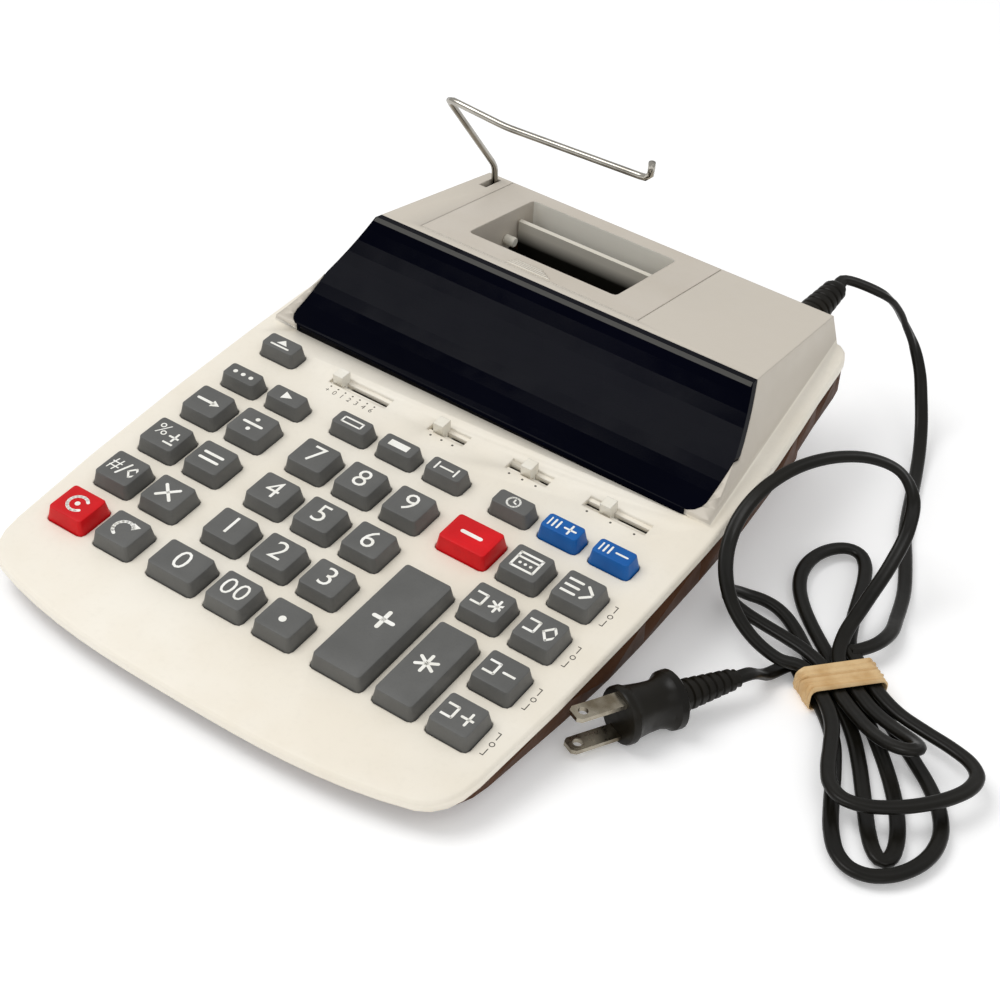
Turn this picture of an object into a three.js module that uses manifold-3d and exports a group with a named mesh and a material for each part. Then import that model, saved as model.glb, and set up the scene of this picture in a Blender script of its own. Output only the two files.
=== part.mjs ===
// Desktop printing calculator, in millimetres, +Z up, the front towards -Y.
// The origin is on the desk under the middle of the body.
// Most of the body is drawn in the frame of the key deck, which slopes up to the back.
import * as THREE from 'three';
import { ConvexGeometry } from 'three/addons/geometries/ConvexGeometry.js';
import { mergeVertices } from 'three/addons/utils/BufferGeometryUtils.js';
import Module from 'manifold-3d';

const wasm = await Module();
wasm.setup();

// General
const GAP = 0.3;              // clearance between neighbouring pieces
const WALL = 2.5;             // wall of both halves of the case
const OVERRUN = 1;            // how far a cut runs past the faces it opens
const REACH = 400;            // size of the blocks that trim along a plane
const WELD = 0.0001;          // vertices closer than this are one

// Deck frame: its origin lies on the deck, at the front edge of the key rows
const DECK_TILT = THREE.MathUtils.degToRad(8);
const DECK_LIFT = 16.8;       // height of the deck frame's origin over the desk
const DECK_SETBACK = 98.2;      // from the deck frame's origin back to the part's origin

// Outline of the case, seen square to the deck
const FRONT_EDGE = -34;       // middle of the bowed front edge
const FRONT_BOW = 8.5;        // how far the bow falls back at its ends
const BOW_HALF_WIDTH = 80;
const CORNER_TOP_Y = -8;      // where the front corner runs into the side
const CORNER_HALF_WIDTH = 90.1;
const HALF_WIDTH = 93.6;
const SIDE_END_Y = 219;
const BACK_Y = 230.5;
const BACK_HALF_WIDTH = 76;
const FRONT_CORNER_SHARES = [0.91, 0.8];
const SIDE_STATION_SHARES = [[0, 0.963], [0.16, 0.987], [0.35, 1], [0.52, 1], [0.65, 0.994],
  [0.75, 0.976], [0.84, 0.951], [0.92, 0.926], [1, 0.907]];
const BACK_CORNER_SHARES = [0.99, 1];
const EDGE_ROUND = 1.2;       // rounding of the deck's rim
const SKIRT = 4;              // depth of the upper case's rim
const DECK_THICKNESS = 2.5;

// Housing of the display and the printer
const LENS_FOOT_Y = 120;
const LENS_FOOT_Z = 2.5;
const ROOF_FRONT_Y = 163.3;
const ROOF_FRONT_Z = 25.2;
const ROOF_BACK_Z = 10.1;
const LENS_SAG = 4.2;         // hollow of the curved display face
const HOUSING_HALF_WIDTH = 90;
const HOUSING_TAPER_SHARE = 0.115;
const SIDE_DRAFT_SHARE = 0.286;
const LENS_HALF_WIDTH = 84.5;
const LENS_CORNER = 6;
const LENS_THICKNESS = 3;
const WINDOW_HALF_WIDTH = 60;
const WINDOW_HEIGHT = 20;
const TUBE_DEPTH = 8;
const ARC_STEPS = 10;

// Keys
const KEY_PITCH = 19.3;
const ROW_PITCH = 20.9;
const KEY_WIDTH = 15.1;
const KEY_DEPTH = 14.2;
const SHORT_KEY_DEPTH = 8.4;
const WIDE_KEY_WIDTH = 19;
const PLUS_KEY_DEPTH = 48.5;
const STAR_KEY_DEPTH = 35.2;
const KEY_TAPER = 1.1;        // each side leans in by this much
const KEY_HEIGHT = 5.3;       // above the deck
const KEY_CORNER = 1.6;
const KEY_CLEARANCE = 0.4;
const KEY_TRAVEL = 3;
const KEY_FLANGE = 0.9;       // the rim under the deck that keeps a key in
const KEY_FLANGE_THICKNESS = 1.1;
const KEY_STEM = 4;
const KEY_STEM_LENGTH = 1.4;
const LEFT_BLOCK_X = -82.1;   // left edge of the left block's keys
const NUMBER_BLOCK_X = -36.8;
const WIDE_ZERO_EXTRA = 3.9;
const TOTAL_BLOCK_X = 24.3;
const MEMORY_BLOCK_X = 47.2;
const ROW_ONE_Y = -3;         // front edge of the first row
const TOP_ROW_Y = 83;
const MODE_ROW_Y = 80.5;
const FEED_ROW_Y = 101.4;

// Slide switches
const SWITCH_Y = 107;
const SWITCH_WELL_DEPTH = 1;
const SWITCH_WELL_WIDTH = 5.6;
const SWITCH_SLOT_WIDTH = 2;
const SWITCH_GRIP = 4;
const SWITCH_GRIP_HEIGHT = 3.6;
const SWITCH_PLATE_WIDTH = 7;
const SWITCH_PLATE_THICKNESS = 1.2;
const DECIMAL_SWITCH = { left: -53, right: -29, knob: -49.6 };
const ROUNDING_SWITCH = { left: -11.5, right: 3.5, knob: -7 };
const TOTAL_SWITCH = { left: 20.5, right: 37, knob: 28.6 };
const POWER_SWITCH = { left: 51, right: 75, knob: 59.4 };

// Key board under the keys
const BOARD_THICKNESS = 1.2;
const BOARD_HALF_WIDTH = 76;
const BOARD_FRONT_Y = -7;
const BOARD_BACK_Y = 113;
const POST_RADIUS = 3;

// Bottom case
const BOTTOM_INSET = 0.5;
const FRONT_SETBACK = 5;      // bottom rim behind the deck's front edge
const SKIRT_DEPTH = 15;       // lowest level of the flared rim under the deck
const LIP_DEPTH = 5.5;        // level of the rim at the front edge
const FLARE_END_Y = 57;
const TRAY_INSET = 9;
const FLARE_FLOOR = 1.5;
const FLOOR_LEVEL = 1.5;      // underside of the tray over the desk
const FLOOR_THICKNESS = 2.5;
const FOOT_RADIUS = 6;
const FOOT_HALF_SPAN = 66;
const FOOT_FRONT_Y = -85;
const FOOT_BACK_Y = 112;

// Printer cover with its paper opening and its hinge barrel
const COVER_LEFT = -63;
const COVER_RIGHT = 28.5;
const COVER_FRONT_Y = 171;
const COVER_THICKNESS = 2.2;
const COVER_LEDGE = 3;
const LEDGE_THICKNESS = 1.5;
const OPENING_LEFT = -49;
const OPENING_RIGHT = 13.7;
const OPENING_FRONT_Y = 180.6;
const OPENING_BACK_Y = 223;
const CHUTE_WALL = 1.6;
const CHUTE_DEPTH = 12.5;
const HINGE_RADIUS = 3;
const HINGE_Z = 4.4;
const PIN_RADIUS = 1.5;
const PIN_LENGTH = 2.6;
const HINGE_BOSS = 3;

// Paper arm, a bent wire
const WIRE_RADIUS = 1.25;
const ARM_X = -69;
const ARM_PIVOT_Y = 226;
const ARM_PIVOT_Z = 3.6;
const ARM_AXLE = 6.6;
const ARM_KNEE_RISE = 14;
const ARM_BEND_Y = 194.3;
const ARM_BEND_Z = 62.6;
const ARM_KINK_X = -44;
const ARM_KINK_DROP = 2.2;
const ARM_TIP_X = 15.5;
const ARM_TIP_RISE = 3.5;
const ARM_BEND_RADIUS = 3.4;
const ARM_SLOT_FRONT_Y = 218;
const ARM_SLOT_BACK_Y = 228;
const ARM_BOSS = 3.6;

// Printer under the cover
const FRAME_LEFT = -54.4;
const FRAME_RIGHT = 19.1;
const FRAME_FRONT_Y = 178;
const FRAME_BACK_Y = 216;
const FRAME_PLATE = 1.8;
const FRAME_BASE_Z = -30;
const FRAME_TOP_Z = 2;
const GUIDE_Y = 212.4;
const GUIDE_TOP_Z = 8.6;
const GUIDE_THICKNESS = 1.8;
const GUIDE_BAR_Z = -6;
const GUIDE_BAR_HEIGHT = 4;
const FEED_ROLLER_RADIUS = 6;
const FEED_ROLLER_Y = 203;
const FEED_ROLLER_Z = -9;
const INK_ROLLER_RADIUS = 7;
const INK_ROLLER_Y = 187.5;
const INK_ROLLER_Z = -10;
const AXLE_RADIUS = 1.6;
const PRINTER_POST_RADIUS = 4;

// Transformer
const TRANSFORMER = { left: 36, right: 70, front: 62, back: 98, height: 28 };

// Cord, its strain relief and its plug
const CORD_WIDTH = 5;
const CORD_HEIGHT = 2.6;
const STRAND_GAP = 1.4;      // between strands side by side under the band
const LAYER_GAP = 1;
const WAIST_OVERHANG = 2.7;  // straight run of each strand beyond the band
const RELIEF_X = 63;
const RELIEF_Z = 1.5;
const RELIEF_LENGTH = 27;
const RELIEF_RADIUS = 5.8;
const RELIEF_TIP_RADIUS = 4.4;
const RELIEF_NECK_RADIUS = 3.8;
const RELIEF_FLANGE_RADIUS = 4.8;
const RELIEF_FLANGE = 1.4;
const RELIEF_RIBS = 7;
const RELIEF_RIB_DEPTH = 0.6;
const BAND_PLACE = new THREE.Vector2(147, 13.8);
const BAND_TURN = THREE.MathUtils.degToRad(-38);
const BAND_THICKNESS = 1;
const BAND_WIDTH = 11;
const BAND_PLAY = 1.2;        // room over the upper strands
const WAIST_LOW = 2.6;        // centre height of the lower strands under the band
const PLUG_FACE = new THREE.Vector3(103.5, -51.7, 10);
const PLUG_TURN = THREE.MathUtils.degToRad(244.5);
const PLUG_LENGTH = 44;
const PLUG_RADIUS = 9;
const PLUG_FLANGE_RADIUS = 9.8;
const PLUG_RELIEF_RADIUS = 4.6;
const PLUG_TAPER_RADIUS = 6;
const PLUG_BODY_SHARE = 0.38;
const PLUG_FLANGE_SHARE = 0.48;
const PLUG_TAPER_SHARE = 0.54;
const PLUG_SIDES = 20;
const BLADE_LENGTH = 17;
const BLADE_WIDTH = 6.3;
const BLADE_THICKNESS = 1.5;
const BLADE_SPACING = 12.7;
const BLADE_HOLE_RADIUS = 1.6;
const BLADE_HOLE_END = 3.5;    // from the tip to the hole's middle
const BLADE_ROOT = 2.5;        // run inside the plug's body

const colours = {
  cream: [0xe9e4d8, 0.5, 0], roof: [0xcfc6b7, 0.55, 0], under: [0x4a2c18, 0.6, 0],
  lens: [0x03061a, 0.08, 0], grey: [0x62625f, 0.45, 0], red: [0xc4181c, 0.4, 0],
  blue: [0x1763ad, 0.4, 0], chrome: [0x9a958c, 0.2, 1], black: [0x15140f, 0.4, 0],
  board: [0x2f6b3c, 0.6, 0], rubber: [0x2a2a2a, 0.8, 0], band: [0xd8b48a, 0.7, 0],
  steel: [0x8d8d90, 0.4, 1], ink: [0x2b2440, 0.6, 0],
};

// Solids

function solidOf(geometry) {
  const bare = geometry.index ? geometry.toNonIndexed() : geometry.clone();
  bare.deleteAttribute('normal');
  bare.deleteAttribute('uv');
  const merged = mergeVertices(bare, WELD);
  const mesh = new wasm.Mesh({
    numProp: 3,
    vertProperties: Float32Array.from(merged.attributes.position.array),
    triVerts: Uint32Array.from(merged.index.array),
  });
  mesh.merge();
  return new wasm.Manifold(mesh);
}

function geometryOf(solid) {
  const mesh = solid.getMesh();
  const geometry = new THREE.BufferGeometry();
  geometry.setAttribute('position', new THREE.BufferAttribute(mesh.vertProperties, 3));
  geometry.setIndex(new THREE.BufferAttribute(mesh.triVerts, 1));
  const flat = geometry.toNonIndexed();
  flat.computeVertexNormals();
  return flat;
}

function pieceOf(name, look, solid) {
  const [color, roughness, metalness] = colours[look];
  const material = new THREE.MeshStandardMaterial({ color, roughness, metalness });
  const mesh = new THREE.Mesh(geometryOf(solid), material);
  mesh.name = name;
  return mesh;
}

function box(x0, x1, y0, y1, z0, z1) {
  const geometry = new THREE.BoxGeometry(x1 - x0, y1 - y0, z1 - z0);
  geometry.translate((x0 + x1) / 2, (y0 + y1) / 2, (z0 + z1) / 2);
  return solidOf(geometry);
}

// A prism along Z over an outline in X and Y
function prismZ(points, z0, z1) {
  const geometry = new THREE.ExtrudeGeometry(new THREE.Shape(points), { depth: z1 - z0, bevelEnabled: false });
  geometry.translate(0, 0, z0);
  return solidOf(geometry);
}

// A prism along X over an outline in Y and Z
function prismX(points, x0, x1) {
  const geometry = new THREE.ExtrudeGeometry(new THREE.Shape(points), { depth: x1 - x0, bevelEnabled: false });
  const turn = new THREE.Matrix4().makeBasis(
    new THREE.Vector3(0, 1, 0), new THREE.Vector3(0, 0, 1), new THREE.Vector3(1, 0, 0));
  geometry.applyMatrix4(turn);
  geometry.translate(x0, 0, 0);
  return solidOf(geometry);
}

function rodX(radius, x0, x1, y, z, sides = 16) {
  const geometry = new THREE.CylinderGeometry(radius, radius, x1 - x0, sides);
  geometry.rotateZ(Math.PI / 2);
  geometry.translate((x0 + x1) / 2, y, z);
  return solidOf(geometry);
}

function rodZ(radius, x, y, z0, z1, sides = 16) {
  const geometry = new THREE.CylinderGeometry(radius, radius, z1 - z0, sides);
  geometry.rotateX(Math.PI / 2);
  geometry.translate(x, y, (z0 + z1) / 2);
  return solidOf(geometry);
}

function roundedRectangle(x0, x1, y0, y1, radius, steps = 3) {
  const points = [];
  const corners = [[x1 - radius, y0 + radius, -1], [x1 - radius, y1 - radius, 0],
    [x0 + radius, y1 - radius, 1], [x0 + radius, y0 + radius, 2]];
  for (const [cx, cy, quarter] of corners) {
    for (let i = 0; i <= steps; i++) {
      const angle = (quarter + i / steps) * Math.PI / 2;
      points.push(new THREE.Vector2(cx + radius * Math.cos(angle), cy + radius * Math.sin(angle)));
    }
  }
  return points;
}

function hull(points) {
  return solidOf(new ConvexGeometry(points));
}

// Frames

const deckMatrix = new THREE.Matrix4().makeRotationX(DECK_TILT);
deckMatrix.setPosition(0, -DECK_SETBACK, DECK_LIFT);
const deskMatrix = deckMatrix.clone().invert();

// Everything in the deck frame that lies higher over the desk than the level given
function aboveDesk(level) {
  const geometry = new THREE.BoxGeometry(REACH, REACH + REACH, REACH);
  geometry.translate(0, 0, level + REACH / 2);
  geometry.applyMatrix4(deskMatrix);
  return solidOf(geometry);
}

// Outline of the case

function caseOutline() {
  const half = [];
  const bowSteps = 8;
  for (let i = 0; i <= bowSteps; i++) {
    const share = i / bowSteps;
    half.push(new THREE.Vector2(BOW_HALF_WIDTH * share, FRONT_EDGE + FRONT_BOW * share ** 3));
  }
  const bowEnd = half[half.length - 1];
  const cornerEnd = new THREE.Vector2(CORNER_HALF_WIDTH, CORNER_TOP_Y);
  const [across, along] = FRONT_CORNER_SHARES;
  const cornerTip = new THREE.Vector2(
    THREE.MathUtils.lerp(bowEnd.x, cornerEnd.x, across), THREE.MathUtils.lerp(cornerEnd.y, bowEnd.y, along));
  half.push(...new THREE.QuadraticBezierCurve(bowEnd, cornerTip, cornerEnd).getPoints(4).slice(1, -1));
  const stations = SIDE_STATION_SHARES.map(([along, wide]) => new THREE.Vector2(
    HALF_WIDTH * wide, THREE.MathUtils.lerp(CORNER_TOP_Y, SIDE_END_Y, along)));
  half.push(...stations);
  const sideEnd = stations[stations.length - 1];
  const backEnd = new THREE.Vector2(BACK_HALF_WIDTH, BACK_Y);
  const backTip = new THREE.Vector2(sideEnd.x * BACK_CORNER_SHARES[0], BACK_Y * BACK_CORNER_SHARES[1]);
  half.push(...new THREE.QuadraticBezierCurve(sideEnd, backTip, backEnd).getPoints(4).slice(1));
  const mirrored = half.slice(1).reverse().map((p) => new THREE.Vector2(-p.x, p.y));
  return [...half, ...mirrored];
}

function inset(points, distance) {
  return points.map((point, i) => {
    const before = points[(i + points.length - 1) % points.length];
    const after = points[(i + 1) % points.length];
    const into = point.clone().sub(before).normalize();
    const out = after.clone().sub(point).normalize();
    const normal = new THREE.Vector2(-(into.y + out.y), into.x + out.x).normalize();
    const stretch = distance / Math.max(normal.dot(new THREE.Vector2(-into.y, into.x)), 0.5);
    return point.clone().addScaledVector(normal, stretch);
  });
}

// The same outline drawn in towards its middle, for the tray
function shrink(points, distance) {
  const middle = (FRONT_EDGE + BACK_Y) / 2;
  const halfDepth = BACK_Y - middle;
  return points.map((point) => new THREE.Vector2(point.x * (1 - distance / HALF_WIDTH),
    middle + (point.y - middle) * (1 - distance / halfDepth)));
}

const outline = caseOutline();

// The display face is an arc that is hollow towards the user

const chord = Math.hypot(ROOF_FRONT_Y - LENS_FOOT_Y, ROOF_FRONT_Z - LENS_FOOT_Z);
const FACE_RADIUS = (chord * chord / 4 + LENS_SAG * LENS_SAG) / (LENS_SAG + LENS_SAG);
const faceRise = FACE_RADIUS - LENS_SAG;
const FACE_Y = (LENS_FOOT_Y + ROOF_FRONT_Y) / 2 - faceRise * (ROOF_FRONT_Z - LENS_FOOT_Z) / chord;
const FACE_Z = (LENS_FOOT_Z + ROOF_FRONT_Z) / 2 + faceRise * (ROOF_FRONT_Y - LENS_FOOT_Y) / chord;
const ROOF_SLOPE = (ROOF_BACK_Z - ROOF_FRONT_Z) / (BACK_Y - ROOF_FRONT_Y);

function roofZ(y, drop = 0) {
  return ROOF_FRONT_Z + ROOF_SLOPE * (y - ROOF_FRONT_Y) - drop;
}

function arcZ(radius, y) {
  return FACE_Z - Math.sqrt(radius * radius - (y - FACE_Y) ** 2);
}

// Where an arc of the face meets the roof line, lowered by a drop
function arcRoofY(radius, drop) {
  const y0 = ROOF_FRONT_Y - FACE_Y;
  const z0 = ROOF_FRONT_Z - drop - FACE_Z;
  const a = 1 + ROOF_SLOPE * ROOF_SLOPE;
  const b = y0 + ROOF_SLOPE * z0;
  const c = y0 * y0 + z0 * z0 - radius * radius;
  return ROOF_FRONT_Y + (-b + Math.sqrt(b * b - a * c)) / a;
}

function arcPoints(radius, y0, y1) {
  const a0 = Math.asin((y0 - FACE_Y) / radius);
  const a1 = Math.asin((y1 - FACE_Y) / radius);
  const points = [];
  for (let i = 0; i <= ARC_STEPS; i++) {
    const angle = THREE.MathUtils.lerp(a0, a1, i / ARC_STEPS);
    points.push(new THREE.Vector2(FACE_Y + radius * Math.sin(angle), FACE_Z - radius * Math.cos(angle)));
  }
  return points;
}

// Section of the housing behind an arc, under the roof and before the back
function housingSection(radius, drop, back, y0, low) {
  const arc = arcPoints(radius, y0, arcRoofY(radius, drop));
  const backY = BACK_Y - back;
  return [new THREE.Vector2(y0, low), new THREE.Vector2(backY, low),
    new THREE.Vector2(backY, roofZ(backY, drop)), ...arc.reverse()];
}

// The housing's sides lean in towards the top and the back
function sideWedge(inward) {
  const points = [];
  for (const y of [LENS_FOOT_Y - WALL, BACK_Y + WALL]) {
    for (const z of [-SKIRT - OVERRUN, ROOF_FRONT_Z + WALL]) {
      const half = HOUSING_HALF_WIDTH - HOUSING_TAPER_SHARE * (y - LENS_FOOT_Y) - SIDE_DRAFT_SHARE * z - inward;
      points.push(new THREE.Vector3(-half, y, z), new THREE.Vector3(half, y, z));
    }
  }
  return hull(points);
}

const across = HALF_WIDTH + WALL;
const roofDrop = WALL / Math.cos(Math.atan(ROOF_SLOPE));
const coverDrop = COVER_THICKNESS + GAP;
const lensBack = FACE_RADIUS + LENS_THICKNESS;
const pocketBack = lensBack + GAP;
const wallBack = pocketBack + WALL;

function lensOutline(grow) {
  return roundedRectangle(-LENS_HALF_WIDTH - grow, LENS_HALF_WIDTH + grow,
    LENS_FOOT_Y - grow, BACK_Y, LENS_CORNER + grow, 4);
}

function roofSlab(fromDrop, toDrop, x0, x1, y0, y1) {
  return prismX([new THREE.Vector2(y0, roofZ(y0, toDrop)), new THREE.Vector2(y1, roofZ(y1, toDrop)),
    new THREE.Vector2(y1, roofZ(y1, fromDrop)), new THREE.Vector2(y0, roofZ(y0, fromDrop))], x0, x1);
}

// Keys: place of the front left corner, width and depth, look and name

const keyRows = (row) => ROW_ONE_Y + row * ROW_PITCH;

function keyList() {
  const keys = [];
  const add = (name, x, y, width = KEY_WIDTH, depth = KEY_DEPTH, look = 'grey') => {
    keys.push({ name: `key_${name}`, x, y, width, depth, look });
  };
  const leftNames = [['clear', 'sign'], ['number', 'times'], ['percent', 'equals'], ['shift', 'divide']];
  leftNames.forEach((pair, row) => pair.forEach((name, column) => {
    add(name, LEFT_BLOCK_X + column * KEY_PITCH, keyRows(row), KEY_WIDTH, KEY_DEPTH,
      name === 'clear' ? 'red' : 'grey');
  }));
  add('mode', LEFT_BLOCK_X, MODE_ROW_Y, KEY_WIDTH, SHORT_KEY_DEPTH);
  add('start', LEFT_BLOCK_X + KEY_PITCH, MODE_ROW_Y, KEY_WIDTH, SHORT_KEY_DEPTH);
  add('feed', LEFT_BLOCK_X, FEED_ROW_Y, KEY_WIDTH, SHORT_KEY_DEPTH);
  const numberNames = [['0', '00', 'point'], ['1', '2', '3'], ['4', '5', '6'], ['7', '8', '9']];
  numberNames.forEach((names, row) => names.forEach((name, column) => {
    const extra = name === '0' ? WIDE_ZERO_EXTRA : 0;
    add(name, NUMBER_BLOCK_X + column * KEY_PITCH - extra, keyRows(row), KEY_WIDTH + extra);
  }));
  ['cost', 'sell', 'margin'].forEach((name, column) => {
    add(name, NUMBER_BLOCK_X + column * KEY_PITCH, TOP_ROW_Y, KEY_WIDTH, SHORT_KEY_DEPTH);
  });
  add('plus', TOTAL_BLOCK_X, keyRows(0), WIDE_KEY_WIDTH, PLUS_KEY_DEPTH);
  add('minus', TOTAL_BLOCK_X, keyRows(3), WIDE_KEY_WIDTH, KEY_DEPTH, 'red');
  add('clock', TOTAL_BLOCK_X + WIDE_KEY_WIDTH - KEY_WIDTH, TOP_ROW_Y, KEY_WIDTH, SHORT_KEY_DEPTH);
  add('total', MEMORY_BLOCK_X, keyRows(0), KEY_WIDTH, STAR_KEY_DEPTH);
  add('memory_total', MEMORY_BLOCK_X, keyRows(2));
  add('calendar', MEMORY_BLOCK_X, keyRows(3));
  add('tax_plus', MEMORY_BLOCK_X, TOP_ROW_Y, KEY_WIDTH, SHORT_KEY_DEPTH, 'blue');
  ['memory_plus', 'memory_minus', 'memory_subtotal', 'grand_total'].forEach((name, row) => {
    add(name, MEMORY_BLOCK_X + KEY_PITCH, keyRows(row));
  });
  add('tax_minus', MEMORY_BLOCK_X + KEY_PITCH, TOP_ROW_Y, KEY_WIDTH, SHORT_KEY_DEPTH, 'blue');
  return keys;
}

const flangeTop = -DECK_THICKNESS - GAP;
const flangeBottom = flangeTop - KEY_FLANGE_THICKNESS;
const stemBottom = flangeBottom - KEY_STEM_LENGTH;
const boardTop = stemBottom - KEY_TRAVEL - KEY_CLEARANCE;
const boardBottom = boardTop - BOARD_THICKNESS;

// A tapered cap, its flange under the deck and its stem, drawn about the key's middle
function keySolid(width, depth) {
  const w = width / 2;
  const d = depth / 2;
  const base = roundedRectangle(-w, w, -d, d, KEY_CORNER, 2);
  const top = roundedRectangle(-w + KEY_TAPER, w - KEY_TAPER, -d + KEY_TAPER, d - KEY_TAPER, KEY_CORNER, 2);
  const cap = hull([...base.map((p) => new THREE.Vector3(p.x, p.y, 0)),
    ...top.map((p) => new THREE.Vector3(p.x, p.y, KEY_HEIGHT))]);
  const neck = prismZ(base, flangeBottom, 0);
  const flange = box(-w - KEY_FLANGE, w + KEY_FLANGE, -d - KEY_FLANGE, d + KEY_FLANGE, flangeBottom, flangeTop);
  const half = KEY_STEM / 2;
  const stem = box(-half, half, -half, half, stemBottom, flangeBottom);
  return cap.add(neck).add(flange).add(stem);
}

function keyHoles(keys) {
  let holes = null;
  for (const key of keys) {
    const hole = prismZ(roundedRectangle(key.x - KEY_CLEARANCE, key.x + key.width + KEY_CLEARANCE,
      key.y - KEY_CLEARANCE, key.y + key.depth + KEY_CLEARANCE, KEY_CORNER + KEY_CLEARANCE, 2),
    -DECK_THICKNESS - OVERRUN, OVERRUN);
    holes = holes ? holes.add(hole) : hole;
  }
  return holes;
}

// Slide switches

const switches = [['decimal', DECIMAL_SWITCH], ['rounding', ROUNDING_SWITCH],
  ['total', TOTAL_SWITCH], ['power', POWER_SWITCH]];

function switchCuts(place) {
  const well = box(place.left, place.right, SWITCH_Y - SWITCH_WELL_WIDTH / 2, SWITCH_Y + SWITCH_WELL_WIDTH / 2,
    -SWITCH_WELL_DEPTH, OVERRUN);
  const slot = box(place.left, place.right, SWITCH_Y - SWITCH_SLOT_WIDTH / 2, SWITCH_Y + SWITCH_SLOT_WIDTH / 2,
    -DECK_THICKNESS - OVERRUN, OVERRUN);
  return well.add(slot);
}

function switchKnob(place) {
  const half = SWITCH_GRIP / 2;
  const neck = SWITCH_SLOT_WIDTH / 2 - GAP;
  const plate = SWITCH_PLATE_WIDTH / 2;
  const plateTop = -DECK_THICKNESS - GAP;
  const grip = box(place.knob - half, place.knob + half, SWITCH_Y - half - GAP, SWITCH_Y + half + GAP,
    -SWITCH_WELL_DEPTH + GAP, SWITCH_GRIP_HEIGHT);
  const stalk = box(place.knob - half, place.knob + half, SWITCH_Y - neck, SWITCH_Y + neck,
    plateTop - SWITCH_PLATE_THICKNESS, 0);
  const foot = box(place.knob - plate, place.knob + plate, SWITCH_Y - plate, SWITCH_Y + plate,
    plateTop - SWITCH_PLATE_THICKNESS, plateTop);
  return grip.add(stalk).add(foot);
}

// Upper case

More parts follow.
